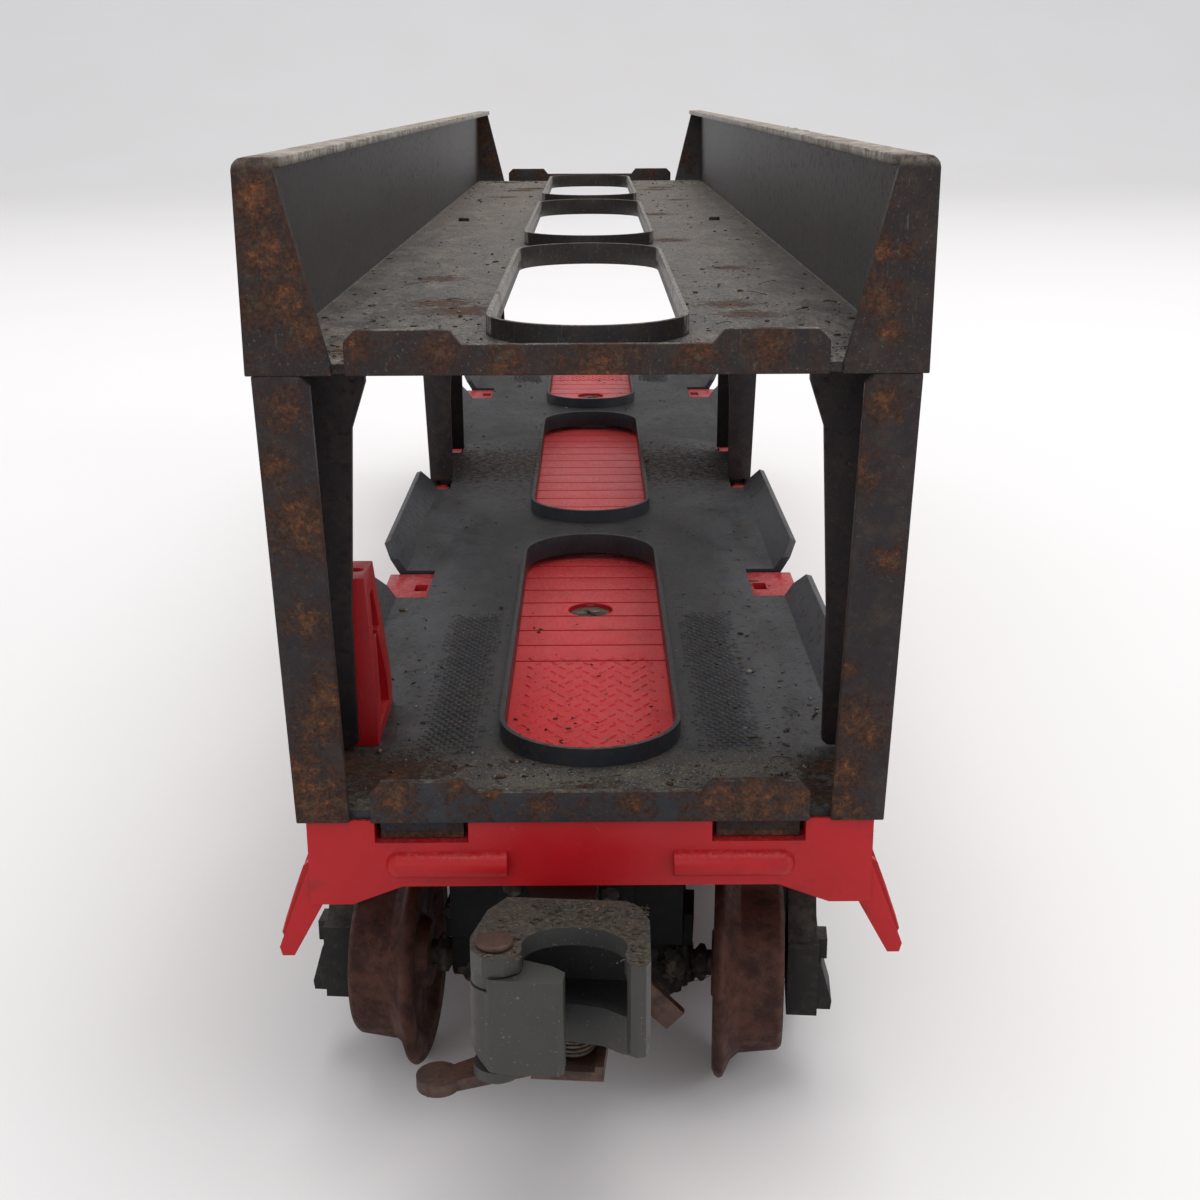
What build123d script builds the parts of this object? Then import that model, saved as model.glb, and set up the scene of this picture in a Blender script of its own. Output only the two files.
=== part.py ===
from build123d import *
import os

# Two-deck car-transporter wagon for 31.75 mm gauge toy track.
# Frame: Z up from the rail head, Y along the wagon with the handbrake end at -Y, X across.
# Everything is in millimetres.

# ---- driving dimensions: rack --------------------------------------------------------
RACK_LENGTH = 256.0          # over the two end faces of the decks
RACK_END = RACK_LENGTH / 2
SHEET = 0.8                  # pressed steel sheet
UPPER_HALF_WIDTH = 25.4
UPPER_FLOOR_Z = 65.0         # underside of the upper deck
WALL_TOP_Z = 80.7
TOP_FLANGE = 3.4
FOLD = 0.9                   # outside size of the bend at the top of the walls
TAB_TOP, TAB_BOTTOM = 2.8, 6.4
LOWER_FLOOR_Z = 28.8         # underside of the lower deck
FLAP_ROOT_X, FLAP_TIP_X, FLAP_TIP_Z = 22.9, 24.8, 32.8
OVAL_PITCH = 83.0
UPPER_OVAL = (73.0, 17.0)
LOWER_OVAL = (71.5, 16.4)
COLLAR_RISE = 1.7
COLLAR_THICK = 0.45          # the turned-up edges are drawn thinner than the sheet
UPPER_LIP = dict(half=18.0, stop_from=9.3, low=2.3, high=3.4)
LOWER_LIP = dict(half=17.7, stop_from=9.0, low=2.6, high=3.5)

# ---- driving dimensions: posts -------------------------------------------------------
POST_TOP_X, POST_FOOT_X = 24.95, 23.7   # outer face at the top and at the foot
POST_FLANGE = 4.3
POST_DEPTH = 14.0
REAR_FLANGE_FOOT_Z = LOWER_FLOOR_Z + SHEET + 0.3
MIDDLE_POST_HALF = 11.5
TAB_SLOT_X = 19.4

# ---- driving dimensions: moulded wagon body ------------------------------------------
BODY_HALF_LENGTH = RACK_END - 0.5
BODY_HALF_WIDTH = 23.0
FLOOR_TOP_Z, FLOOR_BOTTOM_Z = 28.0, 26.2
SILL_BOTTOM_Z = 22.9
SILL_THICK = 1.6
BEAM_THICK = 3.0
BEAM_CORNER_Z = 21.3
NOTCH_X = (9.9, 17.5)
NOTCH_DEPTH = 2.0
BAR_X, BAR_Z, BAR_R = (6.8, 16.7), 24.9, 1.1
PLANK_PITCH = 5.1
SCREW_Y = 69.0
POCKET_Y = (58.3, 68.7)

# ---- driving dimensions: bogies ------------------------------------------------------
PIVOT_Y = 95.5
BOGIE_YAW = -5.0             # both bogies rest turned by this much, degrees
HALF_WHEELBASE = 21.0
AXLE_Z = 10.0                # also the flange radius
AXLE_R = 1.15
RUN_CLEARANCE = 0.05         # radial clearance of every shaft that turns
WHEEL_BACK_X, WHEEL_FACE_X = 12.9, 19.0
TREAD_R = 7.5
FRAME_INNER_X, FRAME_OUTER_X, LID_X = 19.4, 21.9, 23.3
BOLSTER_TOP_Z = 22.2
KING_PIN_R = 1.5

# ---- driving dimensions: coupler, in the bogie's own frame ----------------------------
HEAD_FRONT_Y, THROAT_Y, HEAD_BACK_Y = -49.4, -44.4, -39.5
HEAD_TOP_Z, HEAD_PLATE = 25.6, 1.5
JAW_Z = (16.0, 19.3)
KNUCKLE_PIN_XY = (-2.9, -47.0)
KNUCKLE_PIN_R = 0.75
KNUCKLE_Z = (16.25, 23.95)
BARREL_R, BARREL_TOP_Z = 1.9, 22.8
EAR_R = 1.8
RELEASE_XY = (2.4, -42.2)
RELEASE_Z = 13.2             # underside of the release plate, which can rise by 1.2

# ---- driving dimensions: brake stand --------------------------------------------------
STAND_X, STAND_Y = -20.4, -108.4
STAND_PEG_R = 0.8
STAND_FOOT_Y = (-113.6, -102.6)
STAND_TOP_Z = 44.4


# ---- small makers --------------------------------------------------------------------
def slab(x0, x1, y0, y1, z0, z1):
    """Box between two corners."""
    box = Box(x1 - x0, y1 - y0, z1 - z0, align=(Align.MIN, Align.MIN, Align.MIN))
    return Pos(x0, y0, z0) * box


def plate_xz(outline, y0, y1):
    """Plate whose outline is drawn looking along the wagon."""
    edge = Polyline(*[(x, y0, z) for x, z in outline], close=True)
    return extrude(make_face(edge), amount=y1 - y0, dir=(0, 1, 0))


def plate_yz(outline, x0, x1):
    """Plate whose outline is drawn from the side."""
    edge = Polyline(*[(x0, y, z) for y, z in outline], close=True)
    return extrude(make_face(edge), amount=x1 - x0, dir=(1, 0, 0))


def plate_xy(outline, z0, z1):
    """Plate whose outline is drawn from above."""
    edge = Polyline(*[(x, y, z0) for x, y in outline], close=True)
    return extrude(make_face(edge), amount=z1 - z0, dir=(0, 0, 1))


def post(x, y, r, z0, z1):
    """Upright round bar."""
    bar = Cylinder(r, z1 - z0, align=(Align.CENTER, Align.CENTER, Align.MIN))
    return Pos(x, y, z0) * bar


def rod_x(y, z, r, x0, x1):
    """Round bar across the wagon."""
    bar = Cylinder(r, x1 - x0, align=(Align.CENTER, Align.CENTER, Align.MIN))
    return Pos(x0, y, z) * Rot(0, 90, 0) * bar


def both_sides(part):
    return part + mirror(part, about=Plane.YZ)


def both_ends(part):
    return part + Rot(0, 0, 180) * part


def long_oval(size, y, z0, z1):
    """Round-ended block, long way along the wagon."""
    sketch = Pos(0, y, z0) * Rot(0, 0, 90) * SlotOverall(size[0], size[1])
    return extrude(sketch, amount=z1 - z0)


def save(node, part):
    export_step(part, f"parts/{node}.step")


# ---- the two pressed decks -----------------------------------------------------------
def oval_stations():
    return (-OVAL_PITCH, 0.0, OVAL_PITCH)


def with_ovals(deck, size, z):
    """Adds three round-ended cut-outs whose edges are turned up into collars."""
    inner = (size[0] - 2 * COLLAR_THICK, size[1] - 2 * COLLAR_THICK)
    for y in oval_stations():
        deck = deck + long_oval(size, y, z, z + SHEET + COLLAR_RISE)
    for y in oval_stations():
        deck = deck - long_oval(inner, y, z - 1, z + SHEET + COLLAR_RISE + 1)
    return deck


def end_lip(lip, z):
    """Turned-up end edge with a higher stop on each side and a low middle."""
    high, low = z + lip["high"], z + lip["low"]
    inner, outer = lip["stop_from"], lip["half"]
    outline = [(-outer, z), (outer, z), (outer, high - 0.9), (outer - 0.9, high),
               (inner + 0.9, high), (inner, low), (-inner, low),
               (-inner - 0.9, high), (-outer + 0.9, high), (-outer, high - 0.9)]
    return plate_xz(outline, -RACK_END, -RACK_END + SHEET)


def make_upper_deck():
    w, z = UPPER_HALF_WIDTH, UPPER_FLOOR_Z
    deck = slab(-w, w, -RACK_END + SHEET, RACK_END - SHEET, z, z + SHEET)
    top = WALL_TOP_Z
    bend = [(w, top - FOLD), (w - 0.08, top - 0.55), (w - 0.28, top - 0.28), (w - 0.55, top - 0.08),
            (w - FOLD, top)]
    wall = plate_xz([(w - SHEET, z), (w, z), *bend, (w - TOP_FLANGE, top), (w - TOP_FLANGE, top - SHEET),
                     (w - SHEET, top - SHEET)], -RACK_END + SHEET, RACK_END - SHEET)
    tab = plate_xz([(w - TAB_BOTTOM, z), (w, z), *bend, (w - TAB_TOP, top), (w - TAB_BOTTOM, z + SHEET)],
                   -RACK_END, -RACK_END + SHEET)
    deck = deck + both_sides(wall) + both_ends(both_sides(tab))
    deck = deck + both_ends(end_lip(UPPER_LIP, z))
    deck = with_ovals(deck, UPPER_OVAL, z)
    slot = slab(TAB_SLOT_X - 1.0, TAB_SLOT_X + 1.0, MIDDLE_POST_HALF - SHEET - 0.1,
                MIDDLE_POST_HALF + 0.1, z - 1, z + 2)
    return deck - both_sides(slot)


def flap(y0, y1):
    """Side flap turned up and outwards, with its upper corners cut off."""
    root, tip = FLAP_ROOT_X, FLAP_TIP_X
    z = LOWER_FLOOR_Z
    section = plate_xz([(root - 0.9, z), (root, z), (root + 0.2, z + 0.3),
                        (tip + 0.3, FLAP_TIP_Z - 0.3), (tip - 0.4, FLAP_TIP_Z),
                        (root - 0.6, z + SHEET), (root - 0.9, z + SHEET)], y0, y1)
    side = plate_yz([(y0, z), (y1, z), (y1, z + 2.2), (y1 - 2.4, FLAP_TIP_Z + 0.1),
                     (y0 + 2.4, FLAP_TIP_Z + 0.1), (y0, z + 2.2)], root - 2, tip + 2)
    return section & side


def make_lower_deck():
    z = LOWER_FLOOR_Z
    foot = POST_FOOT_X - SHEET - 0.2
    deck = slab(-foot, foot, -RACK_END + SHEET, RACK_END - SHEET, z, z + SHEET)
    flap_spans = [(-RACK_END + POST_DEPTH + 0.4, -POCKET_Y[1] - 0.3),
                  (-POCKET_Y[0] + 0.3, -MIDDLE_POST_HALF - 4.0)]
    flaps = flap(*flap_spans[0]) + flap(*flap_spans[1])
    flaps = flaps + mirror(flaps, about=Plane.XZ)
    deck = deck + both_sides(flaps)
    deck = deck + both_ends(end_lip(LOWER_LIP, z))
    # tabs bent down into the notches of the end beams
    tab = slab(NOTCH_X[0] + 0.4, NOTCH_X[1] - 0.4, -RACK_END + 1.3, -RACK_END + 1.3 + SHEET,
               z - NOTCH_DEPTH + 0.1, z)
    deck = deck + both_ends(both_sides(tab))
    deck = with_ovals(deck, LOWER_OVAL, z)
    # notches over the stake pockets and beside the middle posts
    pocket = slab(18.8, 30, -POCKET_Y[1] - 0.3, -POCKET_Y[0] + 0.3, z - 1, z + 6)
    beside_post = slab(20.6, 30, -MIDDLE_POST_HALF - 4.0, -MIDDLE_POST_HALF + 2.0, z - 1, z + 6)
    notch = both_sides(pocket + beside_post)
    deck = deck - (notch + mirror(notch, about=Plane.XZ))
    peg_hole = post(STAND_X, STAND_Y, STAND_PEG_R + 0.05, z - 1, z + 2)
    return deck - peg_hole


# ---- folded sheet posts --------------------------------------------------------------
def post_face_x(z):
    """Outer face of a post at height z: the posts lean in towards the foot."""
    share = (z - LOWER_FLOOR_Z) / (UPPER_FLOOR_Z - LOWER_FLOOR_Z)
    return POST_FOOT_X + share * (POST_TOP_X - POST_FOOT_X)


def post_web(y0, y1):
    z0, z1 = LOWER_FLOOR_Z, UPPER_FLOOR_Z
    foot, top = post_face_x(z0), post_face_x(z1)
    return plate_xz([(foot - SHEET, z0), (foot, z0), (top, z1), (top - SHEET, z1)], y0, y1)


def narrow_flange(y0, y1):
    """Flange of even width with a rounded upper inner corner."""
    z0, z1 = LOWER_FLOOR_Z, UPPER_FLOOR_Z
    foot, top = post_face_x(z0), post_face_x(z1)
    return plate_xz([(foot - POST_FLANGE, z0), (foot, z0), (top, z1),
                     (top - POST_FLANGE + 0.7, z1), (top - POST_FLANGE, z1 - 0.7)], y0, y1)


def gusset_flange(y0, y1):
    """Flange that widens under the upper deck and stops just above the lower one."""
    z0, z1 = REAR_FLANGE_FOOT_Z, UPPER_FLOOR_Z
    foot, top = post_face_x(z0), post_face_x(z1)
    return plate_xz([(20.9, z0), (foot, z0), (top, z1), (18.3, z1), (18.3, z1 - 2.7),
                     (19.6, z1 - 6.6), (20.4, z0 + 12.0), (20.4, z0 + 0.5)], y0, y1)


def make_corner_post():
    """Post at the -Y end on the +X side."""
    y0 = -RACK_END
    y1 = y0 + POST_DEPTH
    return (narrow_flange(y0, y0 + SHEET) + post_web(y0 + SHEET / 2, y1 - SHEET / 2)
            + gusset_flange(y1 - SHEET, y1))


def make_middle_post():
    """Channel on the +X side with a twist tab through the upper deck on its +Y flange."""
    y0, y1 = -MIDDLE_POST_HALF, MIDDLE_POST_HALF
    channel = (gusset_flange(y0, y0 + SHEET) + post_web(y0 + SHEET / 2, y1 - SHEET / 2)
               + gusset_flange(y1 - SHEET, y1))
    tab = slab(TAB_SLOT_X - 0.8, TAB_SLOT_X + 0.8, y1 - SHEET, y1,
               UPPER_FLOOR_Z - 0.5, UPPER_FLOOR_Z + SHEET + 0.5)
    return channel + tab


# ---- moulded wagon body --------------------------------------------------------------
def end_beam():
    w, y0 = BODY_HALF_WIDTH, -BODY_HALF_LENGTH
    z1 = LOWER_FLOOR_Z
    beam = plate_xz([(-w, BEAM_CORNER_Z), (-19.6, BEAM_CORNER_Z), (-15.4, SILL_BOTTOM_Z),
                     (15.4, SILL_BOTTOM_Z), (19.6, BEAM_CORNER_Z), (w, BEAM_CORNER_Z),
                     (w, z1), (-w, z1)], y0, y0 + BEAM_THICK)
    # half-round hand rail bars, square at the inner end and rounded off at the outer one
    bar_end = BAR_X[1] - BAR_R
    bar = rod_x(y0, BAR_Z, BAR_R, BAR_X[0], bar_end) + Pos(bar_end, y0, BAR_Z) * Sphere(BAR_R)
    return beam + both_sides(bar)


def corner_step():
    """Stirrup step splayed outwards at the +X, -Y corner."""
    y0, length, leg = -BODY_HALF_LENGTH + 0.4, 6.0, 1.5
    blade = plate_xz([(22.0, 21.3), (24.7, 16.4), (25.7, 16.4), (25.9, 17.2),
                      (23.0, 24.8), (22.0, 24.8)], y0, y0 + length)
    window = slab(20, 30, y0 + leg, y0 + length - leg, 17.8, 22.9)
    return blade - window


def make_car_body():
    w, half = BODY_HALF_WIDTH, BODY_HALF_LENGTH
    floor = slab(-w, w, -half, half, FLOOR_BOTTOM_Z, FLOOR_TOP_Z)
    sill = slab(w - SILL_THICK, w, -half, half, SILL_BOTTOM_Z, LOWER_FLOOR_Z)
    body = floor + both_sides(sill) + both_ends(end_beam())
    notch = slab(NOTCH_X[0], NOTCH_X[1], -half - 1, -half + BEAM_THICK,
                 LOWER_FLOOR_Z - NOTCH_DEPTH, LOWER_FLOOR_Z + 1)
    body = body - both_ends(both_sides(notch))
    body = body + both_ends(both_sides(corner_step()))
    # pockets that show through the notches of the lower deck
    pocket = slab(18.9, 24.2, -POCKET_Y[1], -POCKET_Y[0], FLOOR_BOTTOM_Z - 2.2, LOWER_FLOOR_Z + 0.4)
    mouth = slab(19.2, 20.7, -POCKET_Y[1] + 3.4, -POCKET_Y[0] - 4.4, FLOOR_BOTTOM_Z, LOWER_FLOOR_Z + 1)
    inner_pocket = slab(21.0, 24.0, -MIDDLE_POST_HALF - 3.8, -MIDDLE_POST_HALF - 0.3,
                        FLOOR_BOTTOM_Z - 2.2, LOWER_FLOOR_Z + 0.2)
    pockets = both_sides(pocket - mouth + inner_pocket)
    body = body + pockets + mirror(pockets, about=Plane.XZ)
    # plain stake pockets between them
    for y in (-105.0, -83.0, -36.0):
        stake = slab(w - 0.2, w + 1.1, y - 2.2, y + 2.2, SILL_BOTTOM_Z + 0.6, FLOOR_TOP_Z - 0.4)
        stake = both_sides(stake)
        body = body + stake + mirror(stake, about=Plane.XZ)
    # cross ribs under the floor
    for y in (-48.0, -16.0, 16.0, 48.0):
        body = body + slab(-w + 1, w - 1, y - 0.6, y + 0.6, SILL_BOTTOM_Z + 0.4, FLOOR_BOTTOM_Z + 0.5)
    # grooves between the planks of the floor
    count = 17
    for step in range(-count, count + 1):
        y = step * PLANK_PITCH
        if abs(abs(y) - SCREW_Y) > 0.5:
            body = body - slab(-9.5, 9.5, y - 0.2, y + 0.2, FLOOR_TOP_Z - 0.3, FLOOR_TOP_Z + 1)
    for sign in (-1, 1):
        # screw well and king pin boss
        body = body + post(0, sign * SCREW_Y, 4.0, FLOOR_BOTTOM_Z - 0.6, FLOOR_BOTTOM_Z + 0.4)
        body = body - post(0, sign * SCREW_Y, 2.55, FLOOR_TOP_Z - 1.3, FLOOR_TOP_Z + 1)
        body = body - post(0, sign * SCREW_Y, 1.1, 20, FLOOR_TOP_Z)
        body = body + post(0, sign * PIVOT_Y, 6.5, BOLSTER_TOP_Z + 0.3, FLOOR_BOTTOM_Z + 0.4)
        body = body - post(0, sign * PIVOT_Y, KING_PIN_R, 20, FLOOR_TOP_Z - 0.6)
    # the centre sill fits between the ribs
    body = body - slab(-7.0, 7.0, -78, 78, SILL_BOTTOM_Z - 1, FLOOR_BOTTOM_Z - 0.6)
    return body


def make_centre_sill():
    """Steel channel under the floor, held by the two body screws."""
    z0, z1 = SILL_BOTTOM_Z, FLOOR_BOTTOM_Z - 0.6
    sill = slab(-6.8, 6.8, -77.5, 77.5, z1 - 1.0, z1) + both_sides(slab(5.8, 6.8, -77.5, 77.5, z0, z1))
    for sign in (-1, 1):
        sill = sill - post(0, sign * SCREW_Y, 1.1, z0 - 1, z1 + 1)
    return sill


def make_body_screws():
    """Pan-head screws with a cross recess, one in each floor well."""
    screws = None
    for sign in (-1, 1):
        y, seat = sign * SCREW_Y, FLOOR_TOP_Z - 1.3
        screw = post(0, y, 2.3, seat, seat + 0.9) + post(0, y, 1.1, SILL_BOTTOM_Z + 0.3, seat + 0.1)
        for turn in (25, 115):
            arm = Pos(0, y, seat + 0.75) * Rot(0, 0, turn) * Box(2.6, 0.5, 0.9)
            screw = screw - arm
        screws = screw if screws is None else screws + screw
    return screws


def make_king_pin(sign):
    """Shouldered pin pressed up into the body boss, its head under the bolster."""
    y = sign * PIVOT_Y
    return post(0, y, KING_PIN_R, 16.9, FLOOR_TOP_Z - 0.6) + post(0, y, 3.0, 15.6, 17.0)


# ---- red A-shaped stand on the lower deck --------------------------------------------
def make_brake_stand():
    z0, z1 = LOWER_FLOOR_Z + SHEET, STAND_TOP_Z
    y0, y1 = STAND_FOOT_Y
    frame = plate_yz([(y0, z0), (y1, z0), (y1, z0 + 1.2), (STAND_Y + 2.9, z1), (STAND_Y - 2.9, z1),
                      (y0, z0 + 1.2)], -22.1, -18.8)
    # the inner face leans outwards towards the top
    lean = plate_xz([(-18.6, z0 + 1.2), (-18.0, z0 + 1.2), (-18.0, z1 + 1), (-19.8, z1 + 1)], y0 - 1, y1 + 1)
    window = plate_yz([(STAND_Y - 3.2, z0 + 1.2), (STAND_Y + 3.2, z0 + 1.2), (STAND_Y, z1 - 4.6)], -24, -17)
    recess = plate_yz([(STAND_Y - 1.9, z0 + 9.0), (STAND_Y + 1.9, z0 + 9.0), (STAND_Y + 0.8, z1 - 2.0),
                       (STAND_Y - 0.8, z1 - 2.0)], -20.2, -17)
    dimple = Pos(-21.2, STAND_Y, z1 - 0.5) * extrude(SlotOverall(2.2, 1.2), amount=2)
    peg = post(STAND_X, STAND_Y, STAND_PEG_R, FLOOR_TOP_Z, z0 + 0.5)
    return frame - lean - window - recess - dimple + peg


# ---- bogie parts, drawn in the bogie's own frame with the coupler towards -Y ----------
def make_bolster():
    """Black moulded centre frame: bolster, two transoms and the axle sleeves."""
    top = 20.2
    spine = slab(-6.0, 6.0, -25.5, 25.5, 16.9, top)
    bolster = plate_xz([(-FRAME_INNER_X, 13.6), (-12.0, 12.4), (12.0, 12.4), (FRAME_INNER_X, 13.6),
                        (FRAME_INNER_X, 17.6), (9.0, top), (-9.0, top), (-FRAME_INNER_X, 17.6)], -4.6, 4.6)
    frame = spine + bolster + post(0, 0, 6.5, top - 1, BOLSTER_TOP_Z)
    for sign in (-1, 1):
        y = sign * HALF_WHEELBASE
        frame = frame + slab(-10.2, 10.2, y - 4.2, y + 4.2, 14.0, top)
        frame = frame + slab(-11.0, 11.0, y - 2.4, y + 2.4, 13.0, 16.0)
        sleeve = slab(6.4, 10.6, y - 1.9, y + 1.9, AXLE_Z, 14.5) + rod_x(y, AXLE_Z, 1.9, 6.4, 10.6)
        frame = frame + both_sides(sleeve) - rod_x(y, AXLE_Z, AXLE_R + 0.1, -30, 30)
    # seat for the coupler shank, king pin hole and the pocket for its head
    frame = frame - slab(-2.9, 2.9, -30, -6.9, 17.8, top + 1)
    frame = frame - post(0, 0, KING_PIN_R + RUN_CLEARANCE, 10, 30)
    frame = frame - post(0, 0, 3.3, 10, 17.3)
    for x in (-3.9, 3.9):
        frame = frame + post(x, -14.5, 0.8, top - 0.5, top + 0.5)
    return frame


def make_side_frame():
    """Sprung side frame on the +X side with a journal box at each end."""
    x0, x1 = FRAME_INNER_X, FRAME_OUTER_X
    hw = HALF_WHEELBASE
    arch = plate_yz([(-hw - 2.6, 9.0), (-hw - 2.6, 13.2), (-hw + 1.0, 16.6), (-12.5, 17.6),
                     (12.5, 17.6), (hw - 1.0, 16.6), (hw + 2.6, 13.2), (hw + 2.6, 9.0),
                     (hw - 3.0, 9.0), (hw - 7.0, 6.0), (7.5, 4.6), (-7.5, 4.6),
                     (-hw + 7.0, 6.0), (-hw + 3.0, 9.0)], x0, x1)
    for sign in (-1, 1):
        # openings either side of the spring nest
        hole = plate_yz([(sign * 7.4, 8.2), (sign * 13.0, 8.8), (sign * 16.8, 12.6), (sign * 12.0, 14.8),
                         (sign * 7.4, 14.8)], x0 - 1, x1 + 1)
        arch = arch - hole
        # journal box, its slanted lid, the hinge boss above it and the axle hole
        y = sign * hw
        arch = arch + slab(x0, x1 + 0.2, y - 2.7, y + 2.7, 6.6, 13.6)
        lid = plate_xz([(x1, 7.0), (LID_X, 7.0), (LID_X + 0.1, 7.8), (x1 + 0.5, 11.3), (x1, 11.3)],
                       y - 2.2, y + 2.2)
        arch = arch + lid + slab(x1, x1 + 1.0, y - 1.2, y + 1.2, 11.5, 13.4)
        arch = arch - rod_x(y, AXLE_Z, AXLE_R + RUN_CLEARANCE, x0 - 1, x0 + 1.6)
    # spring nest: two coil groups between the seats, cast in one with the frame
    arch = arch - slab(x0 + 1.1, x1 + 1, -5.6, 5.6, 7.6, 13.4)
    for y in (-3.7, 0.0, 3.7):
        coil = post(x0 + 1.5, y, 1.15, 7.2, 13.8)
        for turn in range(4):
            coil = coil + Pos(x0 + 1.5, y, 8.1 + 1.55 * turn) * Cylinder(1.65, 0.75)
        arch = arch + coil
    arch = arch + slab(x0, x1 + 0.8, -6.6, 6.6, 6.3, 7.6) + slab(x0, x1 + 0.8, -6.6, 6.6, 13.4, 14.8)
    for y in (-9.6, 9.6):
        arch = arch + rod_x(y, 16.2, 0.7, x1 - 0.2, x1 + 0.5)
    return arch


def make_axle(y):
    return rod_x(y, AXLE_Z, AXLE_R, -FRAME_INNER_X - 1.4, FRAME_INNER_X + 1.4)


def make_wheel(y, sign):
    """Flanged wheel turned from the solid, coned tread, dished on both faces."""
    back, face = WHEEL_BACK_X, WHEEL_FACE_X
    rim = AXLE_Z
    outline = [(back - 0.2, AXLE_R), (back - 0.2, 2.9), (back + 0.9, 3.5), (back + 0.9, 6.9),
               (back + 0.1, 7.7), (back, 9.2), (back + 0.25, rim - 0.25), (back + 0.6, rim),
               (back + 0.95, rim - 0.15), (back + 1.6, rim - 1.6), (back + 2.3, TREAD_R + 0.25),
               (face - 0.4, TREAD_R - 0.15), (face, TREAD_R - 0.5), (face, 6.1), (face - 1.3, 5.6),
               (face - 1.3, 3.0), (face - 0.2, 2.5), (face - 0.2, AXLE_R)]
    edge = Polyline(*[(x, 0, r) for x, r in outline], close=True)
    wheel = Pos(0, y, AXLE_Z) * revolve(make_face(edge), Axis.X)
    if sign < 0:
        wheel = mirror(wheel, about=Plane.YZ)
    return wheel


# ---- coupler, in the bogie's own frame -----------------------------------------------
def make_coupler():
    """Cast head with an arched throat, a guard arm at +X and hinge lugs at -X, on a shank."""
    top, under = HEAD_TOP_Z, HEAD_TOP_Z - HEAD_PLATE
    front, back = HEAD_FRONT_Y, HEAD_BACK_Y
    roof = plate_xy([(-3.0, back), (6.2, back), (7.4, back - 0.9), (8.2, back - 3.0),
                     (8.6, front + 1.0), (8.3, front + 0.2), (7.7, front), (7.2, front + 0.2),
                     (6.9, front + 0.8), (6.3, front + 3.2),
                     (-0.6, front + 3.2), (-1.0, front + 1.2), (-2.0, front + 0.5), (-3.6, front + 0.5),
                     (-4.6, front + 1.6), (-4.9, front + 3.4), (-4.2, back - 2.2)], under, top)
    throat = Pos(2.9, front + 2.7, under - 1) * extrude(Ellipse(3.9, 2.8), amount=5)
    roof = roof - throat
    guard = plate_xy([(6.6, back - 1.0), (7.4, back - 1.0), (8.2, back - 3.0), (8.6, front + 1.0),
                      (8.3, front + 0.2), (7.7, front), (7.2, front + 0.2), (6.9, front + 0.8),
                      (6.8, front + 3.0)],
                     18.2, under + 0.1)
    heel = slab(6.6, 8.0, THROAT_Y + 1.0, back - 1.0, JAW_Z[0], 19.0)
    cheek = plate_xy([(-4.4, back - 2.2), (-3.0, back), (-2.0, back), (-3.2, back - 3.4),
                      (-4.7, back - 3.2)], JAW_Z[0], under + 0.1)
    rear = slab(-3.4, 7.2, back - 1.0, back, JAW_Z[0], under + 0.1)
    jaw = plate_xy([(-4.5, back - 3.0), (-3.0, back), (7.4, back), (7.9, back - 3.4), (7.6, THROAT_Y - 1.4),
                    (6.4, THROAT_Y - 1.2), (4.8, THROAT_Y - 0.2), (2.6, THROAT_Y + 0.2),
                    (0.6, THROAT_Y + 0.4), (-2.4, THROAT_Y + 1.4)], JAW_Z[0], JAW_Z[1])
    px, py = KNUCKLE_PIN_XY
    lower_lug = post(px, py, 1.8, JAW_Z[0] - 0.9, JAW_Z[0]) + slab(
        px - 1.4, px + 1.4, py, back - 1.0, JAW_Z[0] - 0.9, JAW_Z[0])
    shank = slab(-2.9, 2.9, back - 0.5, -7.0, 17.8, 20.2)
    head = roof + guard + heel + cheek + rear + jaw + lower_lug + shank
    # room for the barrel of the knuckle, and the thick ear above it
    head = head - post(px, py, BARREL_R + 0.45, KNUCKLE_Z[0] - 0.15, KNUCKLE_Z[1] + 0.15)
    head = head + post(px, py, EAR_R, BARREL_TOP_Z + 0.15, under + 0.1)
    head = head - post(px, py, KNUCKLE_PIN_R, 10, 30)
    # blind hole for the release rivet
    return head - post(RELEASE_XY[0], RELEASE_XY[1], 0.8, 14, 18.0)


def make_knuckle():
    px, py = KNUCKLE_PIN_XY
    z0, z1 = KNUCKLE_Z
    blade = plate_xy([(px - 1.0, py - 0.8), (px - 0.8, py - 1.7), (px - 0.2, py - 2.1), (px + 1.6, py - 2.3),
                      (px + 4.7, py - 2.3), (px + 5.2, py - 1.9), (px + 5.2, py - 0.6), (px + 4.2, py + 0.2),
                      (px + 2.4, py + 0.8), (px + 0.6, py + 1.6)], z0, z1)
    barrel = post(px, py, BARREL_R, z0, z1)
    # the top of the barrel is cut down to pass under the ear of the head
    above = post(px, py, EAR_R + 0.2, BARREL_TOP_Z, z1 + 1)
    # the outer lower edge is cut away at a slant
    bevel = plate_xz([(px - 3, z0 - 1), (px + 0.6, z0 - 1), (px - 3, z0 + 2.6)], py - 4, py + 4)
    return blade + barrel - above - bevel - post(px, py, KNUCKLE_PIN_R + RUN_CLEARANCE, 10, 30)


def make_knuckle_pin():
    px, py = KNUCKLE_PIN_XY
    pin = post(px, py, KNUCKLE_PIN_R, JAW_Z[0] - 1.4, HEAD_TOP_Z + 0.1)
    head = post(px, py, 1.35, HEAD_TOP_Z, HEAD_TOP_Z + 0.5)
    return pin + head + post(px, py, 1.2, JAW_Z[0] - 1.4, JAW_Z[0] - 0.9)


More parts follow.
